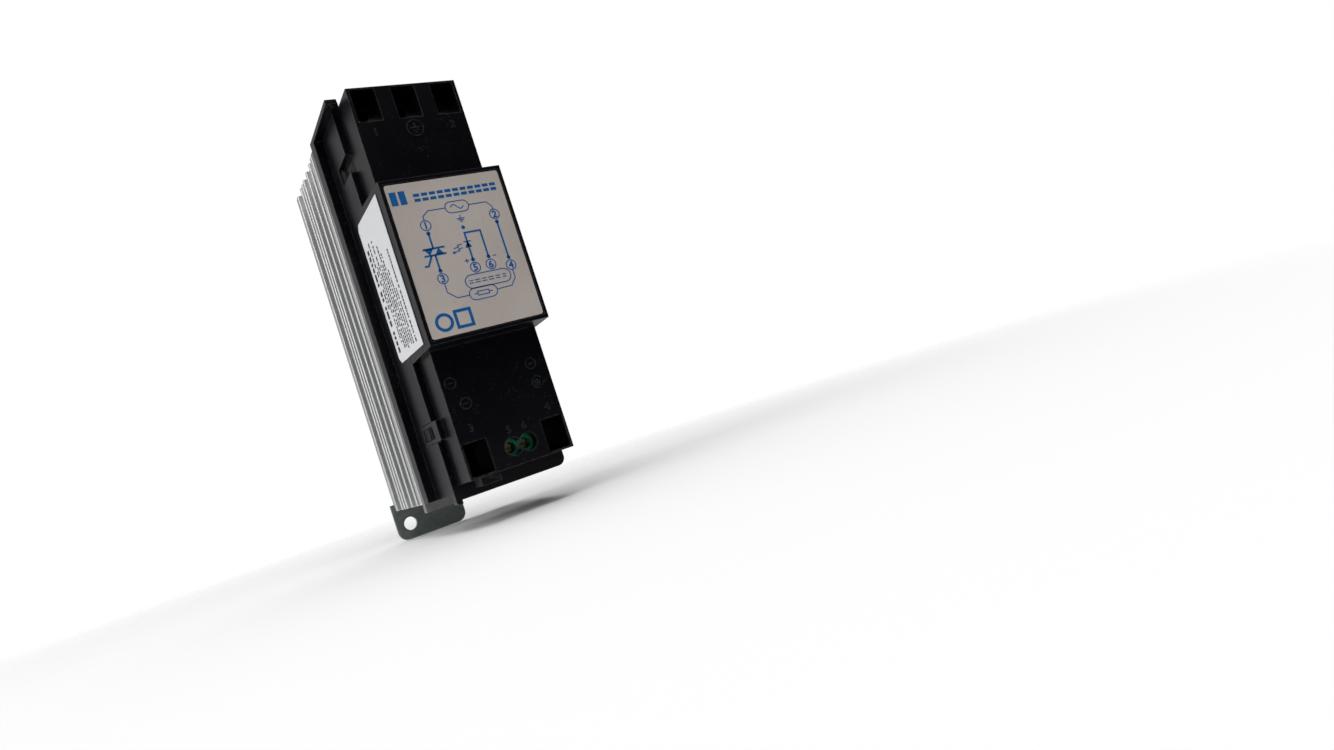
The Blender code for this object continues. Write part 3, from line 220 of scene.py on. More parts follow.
def plate_finish(colour):
    """The satin front plate: a fine grain, faint stains and rubbed edges."""
    finish = Finish("satin_label_plate", Specular_IOR_Level=0.45)
    stain = finish.noise(0.035, detail=5.0, rough=0.62)
    speck = finish.noise(1.3, detail=0.0).above(0.72, 0.05)
    lighter_edges = finish.edges(0.5)
    base = finish.mix(stain.above(0.30, 0.45), shade(colour, 0.93), shade(colour, 1.06))
    base = finish.mix(speck * 0.25, base, shade(colour, 0.55))
    base = finish.mix(lighter_edges * 0.35, base, shade(colour, 1.35))
    finish.feed(Base_Color=base, Roughness=0.36 + stain * 0.22)
    finish.bump(finish.noise(4.0, detail=1.0), 0.06, 0.01)
    return finish.material


def ink_finish(name, colour, thin):
    """Printing ink, a little uneven and thinner in places."""
    finish = Finish(name, Specular_IOR_Level=0.35)
    patch = finish.noise(0.9, detail=3.0)
    paler_patches = finish.noise(2.6, detail=2.0).above(0.68, 0.08)
    base = finish.mix(patch, shade(colour, 0.82), shade(colour, 1.18))
    base = finish.mix(paler_patches * thin, base, shade(colour, 2.6))
    finish.feed(Base_Color=base, Roughness=0.44 + patch * 0.12)
    return finish.material


def paper_finish(colour):
    """Matt coated paper with fibres and a little handling dirt."""
    finish = Finish("label_paper", Specular_IOR_Level=0.28)
    fibre = finish.noise(1.1, detail=4.0, stretch=(1.0, 1.0, 0.5))
    dirt = finish.noise(0.07, detail=4.0).above(0.52, 0.35)
    base = finish.mix(fibre, shade(colour, 0.96), shade(colour, 1.02))
    base = finish.mix(dirt * 0.16, base, shade(colour, 0.62))
    finish.feed(Base_Color=base, Roughness=0.52 + fibre * 0.14)
    finish.bump(fibre, 0.10, 0.02)
    return finish.material


def extruded_aluminium(colour):
    """Natural extrusion: die lines along its length, dull bloom, and bright edges and fin ends,
    partly bare cut metal and partly a painted highlight.
    """
    finish = Finish("extruded_aluminium")
    lines = finish.noise(3.0, detail=3.0, stretch=(1.0, 1.0, 0.012))
    broad = finish.noise(0.7, detail=2.0, stretch=(1.0, 1.0, 0.02))
    bloom = finish.noise(0.05, detail=5.0, rough=0.6)
    pit = finish.noise(1.9, detail=1.0).above(0.70, 0.06)
    # lighter edges, mostly the thin fin ends: a painted highlight, partly bare cut metal
    lighter_edges = finish.edges(0.9)
    base = finish.mix(broad, shade(colour, 0.86), shade(colour, 1.08))
    base = finish.mix(bloom.above(0.48, 0.3) * 0.35, base, shade(colour, 0.70))
    base = finish.mix(pit * 0.30, base, shade(colour, 0.45))
    # near white on the edges and fin ends: painted highlight
    base = finish.mix(lighter_edges * 0.9, base, (0.97, 0.97, 0.96))
    finish.feed(Base_Color=base, Metallic=0.96 - bloom * 0.24,
                Roughness=0.34 + lines * 0.14 + bloom * 0.14 - lighter_edges * 0.12)
    finish.bump(lines + broad * 0.5 - pit * 0.3, 0.22, 0.03)
    return finish.material


def zinc_steel(name, colour, spangle, rough):
    """Zinc on steel: soft mottling, handling marks and rubbed edges."""
    finish = Finish(name)
    mottle = finish.cells(0.55)
    cloud = finish.noise(0.12, detail=5.0)
    scratch = finish.noise(2.2, detail=2.0, stretch=(0.08, 1.0, 1.0)).above(0.66, 0.05)
    lighter_edges = finish.edges(0.25)
    base = finish.mix(mottle * spangle, shade(colour, 0.80), shade(colour, 1.22))
    base = finish.mix(cloud.above(0.42, 0.35) * 0.45, base, shade(colour, 0.72))
    base = finish.mix(scratch * 0.25, base, shade(colour, 1.5))
    base = finish.mix(lighter_edges * 0.5, base, shade(colour, 1.7))
    finish.feed(Base_Color=base, Metallic=0.94 - cloud * 0.14,
                Roughness=rough + cloud * 0.20 - scratch * 0.08 - lighter_edges * 0.10)
    finish.bump(cloud + mottle * 0.4 - scratch * 0.3, 0.12, 0.03)
    return finish.material


def turned_metal(name, colour, rough):
    """Plated or bare metal of screws, bars and clamps, with fine marks and tarnish."""
    finish = Finish(name)
    marks = finish.noise(3.5, detail=2.0, stretch=(1.0, 0.2, 1.0))
    tarnish = finish.noise(0.35, detail=4.0)
    lighter_edges = finish.edges(0.2)
    base = finish.mix(tarnish.above(0.40, 0.4), shade(colour, 1.08), shade(colour, 0.68))
    base = finish.mix(lighter_edges * 0.4, base, shade(colour, 1.4))
    finish.feed(Base_Color=base, Metallic=0.97 - tarnish * 0.12, Roughness=rough + tarnish * 0.22)
    finish.bump(marks, 0.10, 0.02)
    return finish.material


def coloured_plastic(name, colour, rough):
    """A moulded or dipped coloured piece with a faint flow pattern."""
    finish = Finish(name, Specular_IOR_Level=0.45)
    flow = finish.noise(0.25, detail=4.0, stretch=(1.0, 1.0, 0.5))
    base = finish.mix(flow, shade(colour, 0.82), shade(colour, 1.16))
    base = finish.mix(finish.edges(0.25) * 0.3, base, shade(colour, 1.7))
    finish.feed(Base_Color=base, Roughness=rough + flow * 0.14)
    finish.bump(finish.noise(2.8), 0.10, 0.02)
    return finish.material


def board_finish(colour):
    """Solder mask over a pattern of copper areas."""
    finish = Finish("solder_mask", Specular_IOR_Level=0.5)
    tracks = finish.cells(0.22, feature='DISTANCE_TO_EDGE').above(0.08, 0.02)
    weave = finish.noise(1.8, detail=1.0)
    base = finish.mix(tracks, shade(colour, 0.7), shade(colour, 1.5))
    finish.feed(Base_Color=base, Roughness=0.26 + weave * 0.12)
    finish.bump(tracks + weave * 0.2, 0.12, 0.03)
    return finish.material


def soft_pad(colour):
    finish = Finish("thermal_pad", Specular_IOR_Level=0.3)
    fill = finish.noise(2.0, detail=3.0)
    finish.feed(Base_Color=finish.mix(fill, shade(colour, 0.9), shade(colour, 1.08)),
                Roughness=0.72 + fill * 0.16)
    finish.bump(fill, 0.15, 0.03)
    return finish.material


def clear_finish(name, colour, through):
    """A clear or tinted moulding that carries light."""
    finish = Finish(name, Transmission_Weight=through, IOR=1.58)
    haze = finish.noise(0.8, detail=2.0)
    finish.feed(Base_Color=finish.mix(haze, shade(colour, 0.9), shade(colour, 1.05)),
                Roughness=0.10 + haze * 0.14)
    return finish.material


def studio_sheet(colour, inner, outer):
    """The pale sheet under the relay, which fades into the room between two radii."""
    finish = Finish("studio_sheet", Specular_IOR_Level=0.1)
    cloud = finish.noise(0.004)
    finish.feed(Base_Color=finish.mix(cloud, shade(colour, 0.995), colour),
                Roughness=0.88 + cloud * 0.05)
    reach = finish.node("ShaderNodeVectorMath", {"operation": 'LENGTH'}, {0: finish.place})
    under = Value(finish.tree, finish.node("ShaderNodeNewGeometry")["Backfacing"])
    fade = Value(finish.tree, reach["Value"]).above(inner, outer - inner)
    fade = fade.combine('MAXIMUM', fade, under)
    clear = finish.node("ShaderNodeBsdfTransparent")
    both = finish.node("ShaderNodeMixShader", None,
                       {0: fade, 1: finish.shader.outputs[0], 2: clear[0]})
    finish.tree.links.new(both[0], finish.tree.nodes["Material Output"].inputs["Surface"])
    return finish.material


FINISHES = {}


# ---- mesh helpers -------------------------------------------------------------------------------
MERGE = 0.002 * MM          # corners of a CAD mesh that are nearer than this are one corner
FLAT = radians(0.6)         # faces that meet at less than this are one flat face
SHARP_EDGE = radians(28)    # an edge is rounded when its faces turn by more than this
LEAST_LENGTH = 2.2          # and when it is longer than this many widths of its rounding
EDGE_SEGMENTS = 2
SMOOTH_DEGREES = 40


def finished(name, bm, body, finish, replaces=(), smooth=None):
    """Turn a bmesh into a piece that rides on a body."""
    bmesh.ops.recalc_face_normals(bm, faces=bm.faces)
    mesh = bpy.data.meshes.new(name)
    bm.to_mesh(mesh)
    bm.free()
    piece = bpy.data.objects.new(name, mesh)
    bpy.context.scene.collection.objects.link(piece)
    mesh.materials.append(FINISHES[finish])
    if smooth:
        mesh.shade_smooth()
        mesh.set_sharp_from_angle(angle=radians(smooth))
        even = piece.modifiers.new("even_shading", 'WEIGHTED_NORMAL')
        even.keep_sharp = True
    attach(piece, body)
    if replaces:
        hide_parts(*replaces)
    return piece


def node_mesh(node):
    """A merged copy of a CAD node's faces with its flat faces made whole."""
    bm = bmesh.new()
    bm.from_mesh(NODES[node].data)
    bmesh.ops.remove_doubles(bm, verts=bm.verts, dist=MERGE)
    bmesh.ops.dissolve_limit(bm, angle_limit=FLAT, verts=bm.verts, edges=bm.edges)
    return bm


def soften(bm, width_mm):
    """Round the outside edges of a solid that are sharp and long enough."""
    edges = [edge for edge in bm.edges
             if len(edge.link_faces) == 2 and edge.calc_face_angle_signed() > SHARP_EDGE
             and edge.calc_length() > LEAST_LENGTH * width_mm * MM]
    bmesh.ops.bevel(bm, geom=edges, offset=width_mm * MM, offset_type='OFFSET',
                    segments=EDGE_SEGMENTS, profile=0.5, affect='EDGES', clamp_overlap=True,
                    material=-1)


def softened(node, name, body, finish, width_mm):
    """A piece with a CAD node's shape and rounded edges."""
    bm = node_mesh(node)
    soften(bm, width_mm)
    return finished(name, bm, body, finish, replaces=(node,), smooth=SMOOTH_DEGREES)


def lift(bm, faces, by):
    """Make flat faces solid by moving a copy of them."""
    lifted = bmesh.ops.extrude_face_region(bm, geom=faces)
    moved = [item for item in lifted["geom"] if isinstance(item, bmesh.types.BMVert)]
    bmesh.ops.translate(bm, vec=by, verts=moved)


def prism(bm, points, back, front):
    """Add a flat outline of (x, z) made solid between two Y."""
    face = bm.faces.new([bm.verts.new((x, back, z)) for x, z in points])
    lift(bm, [face], (0, front - back, 0))


def circle(x, z, radius, steps=28, start=0.0, sweep=2 * pi):
    """Points round a circle or an arc."""
    closed = sweep >= 2 * pi
    count = steps if closed else steps + 1
    return [(x + radius * cos(start + sweep * step / steps),
             z + radius * sin(start + sweep * step / steps)) for step in range(count)]


def pill(x, z, half_width, half_height):
    """The outline of a pill, as points."""
    straight = half_width - half_height
    return (circle(x + straight, z, half_height, 10, -pi / 2, pi * 0.9999)
            + circle(x - straight, z, half_height, 10, pi / 2, pi * 0.9999))


def stroke(bm, points, width, back, front, closed=False):
    """Add a line of even width along points, as a thin solid."""
    path = [Vector(point) for point in points]
    last = len(path) - 1
    sides = []
    for index, here in enumerate(path):
        before = path[index - 1] if index or closed else here
        after = path[(index + 1) % len(path)] if index < last or closed else here
        into = (here - before).normalized() if (here - before).length else None
        out = (after - here).normalized() if (after - here).length else None
        along = ((into or out) + (out or into)).normalized()
        across = Vector((-along.y, along.x))
        mitre = max(0.4, along.dot(out or into))
        sides.append((here + across * (width / 2 / mitre), here - across * (width / 2 / mitre)))
    rungs = [[bm.verts.new((spot.x, back, spot.y)) for spot in pair] for pair in sides]
    pairs = list(zip(rungs, rungs[1:] + rungs[:1])) if closed else list(zip(rungs, rungs[1:]))
    lift(bm, [bm.faces.new((a[0], a[1], b[1], b[0])) for a, b in pairs], (0, front - back, 0))


def figure(bm, text, x, z, size, back, front, bold=0.0):
    """Add a numeral or sign, centred, as a thin solid."""
    curve = bpy.data.curves.new("figure", 'FONT')
    curve.body = text
    curve.size = size
    curve.align_x = 'CENTER'
    curve.align_y = 'CENTER'
    curve.extrude = abs(front - back) / 2
    curve.resolution_u = 3
    curve.offset = bold
    shape = bpy.data.objects.new("figure", curve)
    bpy.context.scene.collection.objects.link(shape)
    bpy.context.view_layer.update()
    drawn = shape.evaluated_get(bpy.context.evaluated_depsgraph_get())
    mesh = bpy.data.meshes.new_from_object(drawn)
    bpy.data.objects.remove(shape)
    held = bmesh.new()
    held.from_mesh(mesh)
    bmesh.ops.remove_doubles(held, verts=held.verts, dist=0.0005 * MM)
    low = [min(vert.co[axis] for vert in held.verts) for axis in (0, 1)]
    high = [max(vert.co[axis] for vert in held.verts) for axis in (0, 1)]
    centred = Matrix.Translation((-(low[0] + high[0]) / 2, -(low[1] + high[1]) / 2, 0))
    stood = Matrix.Translation((x, (back + front) / 2, z)) @ Matrix.Rotation(pi / 2, 4, 'X')
    bmesh.ops.transform(held, matrix=stood @ centred, verts=held.verts)
    loose = bpy.data.meshes.new("figure")
    held.to_mesh(loose)
    held.free()
    bm.from_mesh(loose)
    bpy.data.meshes.remove(loose)
    bpy.data.meshes.remove(mesh)


# ---- what a user may change ---------------------------------------------------------------------
def colour_setting(name, description, default):
    return bpy.props.FloatVectorProperty(name=name, description=description, subtype='COLOR',
                                         size=3, min=0.0, max=1.0, default=default)


def length_setting(name, description, default_mm):
    return bpy.props.FloatProperty(name=name, description=description, unit='LENGTH',
                                   subtype='DISTANCE', min=0.0, default=default_mm * MM)


class RelayColours(bpy.types.PropertyGroup):
    """Base colours of the finishes."""
    plastic: colour_setting("Housing", "Black moulded housing and cover", (0.0022, 0.0023, 0.0044))
    plate: colour_setting("Label plate", "Printed plate on the raised block", (0.680, 0.608, 0.555))
    ink: colour_setting("Plate print", "Blue printing on the label plate", (0.004, 0.135, 0.430))
    paper: colour_setting("Side label", "White paper label", (0.74, 0.75, 0.77))
    paper_ink: colour_setting("Side label print", "Dark print on the paper", (0.020, 0.020, 0.024))
    aluminium: colour_setting("Heat sink", "Natural extruded aluminium", (0.62, 0.63, 0.62))
    zinc: colour_setting("Mounting plate", "Dull zinc plate on steel", (0.20, 0.225, 0.22))
    base: colour_setting("Base plate", "Metal base of the relay", (0.34, 0.34, 0.345))
    nickel: colour_setting("Clamps", "Nickel plate on screws and clamps", (0.60, 0.57, 0.50))
    brass: colour_setting("Brass", "Bare brass", (0.30, 0.235, 0.150))
    copper: colour_setting("Conductors", "Copper bars", (0.66, 0.34, 0.21))
    green: colour_setting("Control terminals", "Green terminal block", (0.010, 0.200, 0.105))


class RelayEdges(bpy.types.PropertyGroup):
    """How far edges are rounded."""
    plastic: length_setting("Plastic edges", "Rounding of moulded edges", 0.35)
    sheet: length_setting("Sheet edges", "Rounding of sheet metal edges", 0.22)
    extrusion: length_setting("Extrusion edges", "Rounding of the heat sink's fins", 0.30)
    small: length_setting("Small parts", "Rounding of screws and clamps", 0.18)


class RelayPrint(bpy.types.PropertyGroup):
    """Sizes of the printing and the moulded marks."""
    thin: length_setting("Thin line", "Width of the outline round the diagram", 0.31)
    thick: length_setting("Thick line", "Width of the conductors in the diagram", 0.58)
    ring: length_setting("Terminal ring", "Radius of the ring round a terminal's number", 1.55)
    numeral: length_setting("Numeral", "Height of the printed numbers' font", 3.1)
    bold: length_setting("Bold", "How much the printed numbers are thickened", 0.10)
    film: length_setting("Ink film", "How far the ink stands on the plate", 0.03)
    mould: length_setting("Moulded marks", "How far moulded marks stand on the cover", 0.22)


class RelayLights(bpy.types.PropertyGroup):
    """Brightness of the studio lights."""
    side: bpy.props.FloatProperty(name="Side light", description="Large light on the left",
                                  default=3.6, min=0.0, unit='POWER')
    front: bpy.props.FloatProperty(name="Front light", description="Light from above the front",
                                   default=3.9, min=0.0, unit='POWER')
    sheet: bpy.props.FloatProperty(name="Sheet light", description="Light on the studio sheet",
                                   default=14.0, min=0.0, unit='POWER')
    room: bpy.props.FloatProperty(name="Room", description="Brightness of the plain room",
                                  default=1.0, min=0.0)
    dim: bpy.props.FloatProperty(name="Dim side", description="Room light from the front",
                                 default=0.035, min=0.0)
    bright: bpy.props.FloatProperty(name="Bright side",
                                    description="Room light from the bright side",
                                    default=0.44, min=0.0)
    bright_side: bpy.props.FloatVectorProperty(
        name="Bright direction", description="Where the room is brightest", subtype='DIRECTION',
        size=3, default=(-0.55, 0.80, 0.25))


# ---- pieces -------------------------------------------------------------------------------------
class RELAY_OT_finishes(bpy.types.Operator):
    """Make every finish from the colours"""
    bl_idname = "relay.finishes"
    bl_label = "Finishes"

    def execute(self, context):
        hues = context.scene.relay_colours
        FINISHES.update({
            "plastic": black_plastic(hues.plastic),
            "plate": plate_finish(hues.plate),
            "ink": ink_finish("blue_ink", hues.ink, 0.16),
            "paper": paper_finish(hues.paper),
            "paper_ink": ink_finish("dark_ink", hues.paper_ink, 0.10),
            "aluminium": extruded_aluminium(hues.aluminium),
            "zinc": zinc_steel("dull_zinc_plate", hues.zinc, 0.6, 0.34),
            "base": zinc_steel("plated_base", hues.base, 0.4, 0.36),
            "screw_steel": turned_metal("zinc_screw", shade(hues.nickel, 0.92), 0.30),
            "nickel": turned_metal("nickel_plate", hues.nickel, 0.26),
            "brass": turned_metal("bare_brass", hues.brass, 0.28),
            "copper": turned_metal("copper_bar", hues.copper, 0.30),
            "green": coloured_plastic("green_terminal_plastic", hues.green, 0.30),
            "resin": coloured_plastic("epoxy_resin", (0.03, 0.03, 0.034), 0.48),
            "capacitor": coloured_plastic("dipped_blue", (0.03, 0.08, 0.32), 0.28),
            "lacquer": coloured_plastic("tan_lacquer", (0.52, 0.36, 0.20), 0.36),
            "lamp": clear_finish("red_lamp", (0.45, 0.02, 0.015), 0.55),
            "pipe": clear_finish("light_pipe_clear", (0.030, 0.052, 0.048), 0.6),
            "board": board_finish((0.015, 0.10, 0.04)),
            "pad": soft_pad((0.42, 0.43, 0.47)),
        })
        return {'FINISHED'}


class RELAY_OT_shells(bpy.types.Operator):
    """Round the edges of the housing and the cover"""
    bl_idname = "relay.shells"
    bl_label = "Housing and cover"

    def execute(self, context):
        width = context.scene.relay_edges.plastic / MM
        for node, name in (("base_housing", "housing_shell"), ("front_cover", "cover_shell")):
            softened(node, name, "root", "plastic", width)
        return {'FINISHED'}


class RELAY_OT_metalwork(bpy.types.Operator):
    """Round the edges of the heat sink, the base plate and the mounting plate"""
    bl_idname = "relay.metalwork"
    bl_label = "Heat sink and plates"

    def execute(self, context):
        edges = context.scene.relay_edges
        softened("heat_sink", "finned_heat_sink", "root", "aluminium",
                 edges.extrusion / MM)
        softened("base_plate", "relay_base", "root", "base", edges.sheet / MM)
        softened("mounting_plate", "foot_plate", "root", "zinc", edges.sheet / MM)
        return {'FINISHED'}


class RELAY_OT_screws(bpy.types.Operator):
    """Round the screws and clamps, and give the control terminals their finish"""
    bl_idname = "relay.screws"
    bl_label = "Screws and clamps"

    def execute(self, context):
        width = context.scene.relay_edges.small / MM
        for label in TERMINALS:
            softened(f"terminal_screw_{label}", f"clamp_screw_{label}", f"screw_{label}",
                     "nickel", width)
            softened(f"clamp_plate_{label}", f"wire_clamp_{label}", f"clamp_{label}",
                     "nickel", width)
        for label in CONTROLS:
            softened(f"control_screw_{label}", f"small_screw_{label}", f"control_screw_{label}",
                     "brass", width / 2)
            softened(f"control_cage_{label}", f"wire_cage_{label}", f"control_cage_{label}",
                     "nickel", width / 2)
        softened("control_terminal_block", "green_terminal_block", "root", "green",
                 width)
        return {'FINISHED'}


class RELAY_OT_plate(bpy.types.Operator):
    """The printed plate with its circuit drawing"""
    bl_idname = "relay.plate"
    bl_label = "Label plate and print"

    def execute(self, context):
        sizes = context.scene.relay_print
        softened("front_label", "label_plate", "root", "plate", 0.06)
        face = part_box("front_label")[0].y
        back = face + sizes.film / 2
        front = face - sizes.film
        bm = bmesh.new()

        def line(points, width=sizes.thin, closed=False):
            stroke(bm, [(x * MM, z * MM) for x, z in points], width, back, front, closed)

        def dot(x, z, radius_mm):
            prism(bm, circle(x * MM, z * MM, radius_mm * MM, 20), back, front)

        def solid(points):
            prism(bm, [(x * MM, z * MM) for x, z in points], back, front)

        def block(x0, z0, x1, z1):
            solid([(x0, z0), (x1, z0), (x1, z1), (x0, z1)])

        left, right, mid = -9.45, 12.75, 1.75
        top, foot = 10.05, -6.65
        plus_x, minus_x, control_z = 1.4, 6.5, -5.2
        ring = sizes.ring / MM
        joint = 0.62
        fine, heavy = 0.3 * MM, 0.95 * MM
        line_pill = (1.75, 14.3, 3.75, 1.75)
        input_pill = (4.25, -9.35, 7.4, 2.1)
        load_pill = (1.4, -13.2, 4.5, 1.85)

        for number, x, z in (("1", left, top), ("2", right, top), ("3", left, foot),
                             ("4", right, foot), ("5", plus_x, control_z),
                             ("6", minus_x, control_z)):
            line(circle(x, z, ring), closed=True)
            figure(bm, number, x * MM, z * MM, sizes.numeral, back, front, sizes.bold)
        for shape in (line_pill, input_pill, load_pill):
            line(pill(*shape), closed=True)

        line([(left, top + ring), (left, 12.9), (-7.5, 14.4), (line_pill[0] - line_pill[2], 14.4)])
        line([(line_pill[0] + line_pill[2], 14.3), (11.3, 14.3), (right, 12.6),
              (right, top + ring)])
        line([(left, foot - ring), (left, -11.0), (-6.9, -13.2),
              (load_pill[0] - load_pill[2], -13.2)])
        line([(load_pill[0] + load_pill[2], -13.2), (10.9, -13.0), (right, -10.8),
              (right, foot - ring)])

        switch_top, switch_foot = 2.85, 0.80
        for x in (left, right):
            for z in (7.55, -4.2):
                dot(x, z, joint)
        line([(right, 7.55), (right, -4.2)], sizes.thick)
        line([(left, 7.55), (left, switch_top)], sizes.thick)
        line([(left, switch_foot), (left, -4.2)], sizes.thick)
        for z in (switch_top, switch_foot):
            line([(left - 3.3, z), (left + 3.5, z)], sizes.thick)
        solid([(left - 2.9, switch_top), (left - 0.1, switch_top), (left - 1.5, switch_foot)])
        solid([(left + 0.1, switch_foot), (left + 2.9, switch_foot), (left + 1.5, switch_top)])
        line([(left - 1.1, switch_foot), (left - 2.9, -2.2), (left - 4.2, -2.2)], sizes.thick)

        line([(mid, 11.6), (mid, 10.5)])
        for step, half in enumerate((1.3, 0.85, 0.4)):
            line([(mid - half, 10.5 - 0.5 * step), (mid + half, 10.5 - 0.5 * step)])
        dot(1.6, 7.6, joint)
        line([(plus_x, -2.8), (plus_x, 5.85), (minus_x, 5.85), (minus_x, -2.7)], sizes.thick)
        dot(plus_x, -2.75, joint)
        dot(minus_x, -2.75, joint)
        solid([(plus_x - 1.15, 1.2), (plus_x + 1.15, 1.2), (plus_x, 3.1)])
        line([(plus_x - 1.2, 3.1), (plus_x + 1.2, 3.1)], 0.34 * MM)
        for shift in (0.0, -1.2):
            line([(-0.5, 2.6 + shift), (-2.0, 2.4 + shift), (-1.7, 1.9 + shift),
                  (-3.4, 1.6 + shift)])
        solid([(-4.4, 0.35), (-3.2, 0.9), (-3.3, -0.1)])
        line([(-1.3, -2.8), (0.1, -2.8)])
        line([(-0.6, -3.5), (-0.6, -2.1)])
        line([(7.9, -2.7), (9.1, -2.7)])

        wave = [(1.75 + span / 12 * 4.2 - 2.1, 14.3 + 0.75 * sin(span / 12 * 2 * pi))
                for span in range(13)]
        line(wave, fine)
        for x, half in ((-1.3, 0.7), (0.8, 0.9), (3.0, 0.8), (5.2, 0.9), (7.4, 0.7), (9.6, 0.6)):
            line([(x - half, -9.0), (x + half, -9.0)], fine)
            line([(x - half, -9.75), (x + half, -9.75)], fine)
        line([(-1.6, -13.2), (-0.4, -13.2)], fine)
        line([(-0.4, -12.6), (3.2, -12.6), (3.2, -13.8), (-0.4, -13.8)], fine, closed=True)
        line([(3.2, -13.2), (4.4, -13.2)], fine)

        for x in (-16.3, -13.6):
            block(x - 1.0, 17.3, x + 1.0, 21.5)
        for number in range(11):
            x = -9.6 + number * 2.45
            block(x - 0.75, 17.6, x + 1.15, 18.55)
            block(x - 0.75, 19.15, x + 1.15, 20.1)
        line(circle(-13.1, -19.5, 2.35), heavy, closed=True)
        line([(-9.3, -17.0), (-4.6, -17.0), (-4.6, -21.9), (-9.3, -21.9)], heavy, closed=True)
        finished("plate_print", bm, "root", "ink")
        return {'FINISHED'}


class RELAY_OT_side_label(bpy.types.Operator):
    """The paper label on the left side, with rows of plain dashes for its print"""
    bl_idname = "relay.side_label"
    bl_label = "Side label"

    def execute(self, context):
        softened("side_label", "paper_label", "root", "paper", 0.05)
        low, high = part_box("side_label")
        film = context.scene.relay_print.film
        draw = Random(7)
        bm = bmesh.new()
        rows = ((24.7, 2.0, 1.9, 0.55, 9.5, 43.5), (22.0, 1.1, 1.5, 0.40, 8.0, 30.0),
                (20.1, 1.0, 0.8, 0.22, 16.5, 42.0), (18.0, 1.15, 1.1, 0.28, 8.5, 43.0),
                (16.1, 1.0, 0.7, 0.22, 17.0, 43.5), (14.0, 1.15, 0.9, 0.28, 11.5, 44.0),
                (12.1, 1.0, 0.7, 0.22, 14.5, 44.0), (10.0, 1.0, 0.8, 0.22, 20.5, 44.0),
                (8.0, 1.0, 0.8, 0.22, 27.0, 44.0), (4.6, 1.2, 0.9, 0.24, 15.5, 44.5))
        for depth, height, dash, space, start, stop in rows:
            z = start
            while z < stop:
                length = dash * draw.uniform(0.5, 1.4)
                y = low.y + depth * MM
                top = high.z - z * MM
                foot = top - length * MM
                spot = [(y, top), (y + height * MM, top), (y + height * MM, foot), (y, foot)]
                face = bm.faces.new([bm.verts.new((low.x + film / 2, a, b)) for a, b in spot])
                lift(bm, [face], (-1.5 * film, 0, 0))
                z += length + space * draw.choice((1.0, 1.0, 1.3, 3.2))
        finished("paper_print", bm, "root", "paper_ink")
        return {'FINISHED'}


class RELAY_OT_marks(bpy.types.Operator):
    """Numbers and signs moulded on the terminal face"""
    bl_idname = "relay.marks"
    bl_label = "Moulded marks"

    def execute(self, context):
        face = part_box("light_pipe")[0].y - PIPE_SETBACK
        rise = context.scene.relay_print.mould
        back = face + rise
        front = face - rise
        bm = bmesh.new()

        def ring(x, z, radius):
            stroke(bm, circle(x * MM, z * MM, radius * MM), 0.32 * MM, back, front, closed=True)

        def bar(x0, z0, x1, z1):
            stroke(bm, [(x0 * MM, z0 * MM), (x1 * MM, z1 * MM)], 0.34 * MM, back, front)

        for text, x, z in (("1", -12.4, 43.9), ("2", 12.4, 43.9), ("3", -12.6, -51.0),
                           ("4", 13.0, -51.4), ("5", -1.5, -54.9), ("6", 3.6, -54.9)):
            figure(bm, text, x * MM, z * MM, 3.4 * MM, back, front, 0.05 * MM)
        ring(0.0, 43.9, 2.6)
        bar(0.0, 45.6, 0.0, 44.0)
        for step, half in enumerate((1.6, 1.05, 0.5)):
            bar(-half, 44.0 - 0.8 * step, half, 44.0 - 0.8 * step)
        for x, z in ((-11.7, -43.4), (12.1, -37.0), (-14.5, -36.4)):
            ring(x, z, 1.7)
            bar(x - 0.9, z, x + 0.9, z)
        finished("moulded_marks", bm, "root", "plastic")
        return {'FINISHED'}


class RELAY_OT_inside(bpy.types.Operator):
    """Finishes of the CAD pieces that keep their shape"""
    bl_idname = "relay.inside"
    bl_label = "Inner pieces"

    def execute(self, context):
        plain = {
            "circuit_board": "board", "power_module": "resin", "optocoupler": "resin",
            "snubber_capacitor": "capacitor", "varistor": "lacquer", "snubber_resistor": "lacquer",
            "input_resistor": "lacquer", "status_led": "lamp", "light_pipe": "pipe",
            "thermal_pad": "pad", "busbar_1": "copper", "busbar_3": "copper",
            "through_link_2_4": "copper", "earth_strap": "brass", "earth_foot_screw": "nickel",
            "module_screw_1": "nickel", "module_screw_3": "nickel", "control_contact_5": "nickel",
            "control_contact_6": "nickel", "relay_screw_upper": "screw_steel",
            "relay_screw_lower": "screw_steel", "plate_screw_upper": "screw_steel",
            "plate_screw_lower": "screw_steel",
        }
        plain.update({f"housing_screw_{number}": "screw_steel" for number in range(1, 5)})
        for node, finish in plain.items():
            NODES[node].data.materials.clear()
            NODES[node].data.materials.append(FINISHES[finish])
        return {'FINISHED'}


# ---- studio -------------------------------------------------------------------------------------
CAMERA_PLACE = Vector((-0.094798, -0.335161, -0.061906))
CAMERA_AIM = Vector((0.520330, 0.852878, 0.043091))
CAMERA_ROLL = radians(18.50)
CAMERA_LENS = 23.032
CAMERA_SHIFT = (0.00539, -0.00795)
SHEET_RADIUS = 0.6
SHEET_DROP = 0.0002           # how far the sheet lies under the lowest piece
SHEET_COLOUR = (0.90, 0.90, 0.90)
SHEET_FADE = (0.10, 0.34)     # the sheet is whole inside the first radius and gone at the second
ROOM_TURN = (-0.25, 0.85)     # cosines to the bright direction where the room is dim and bright


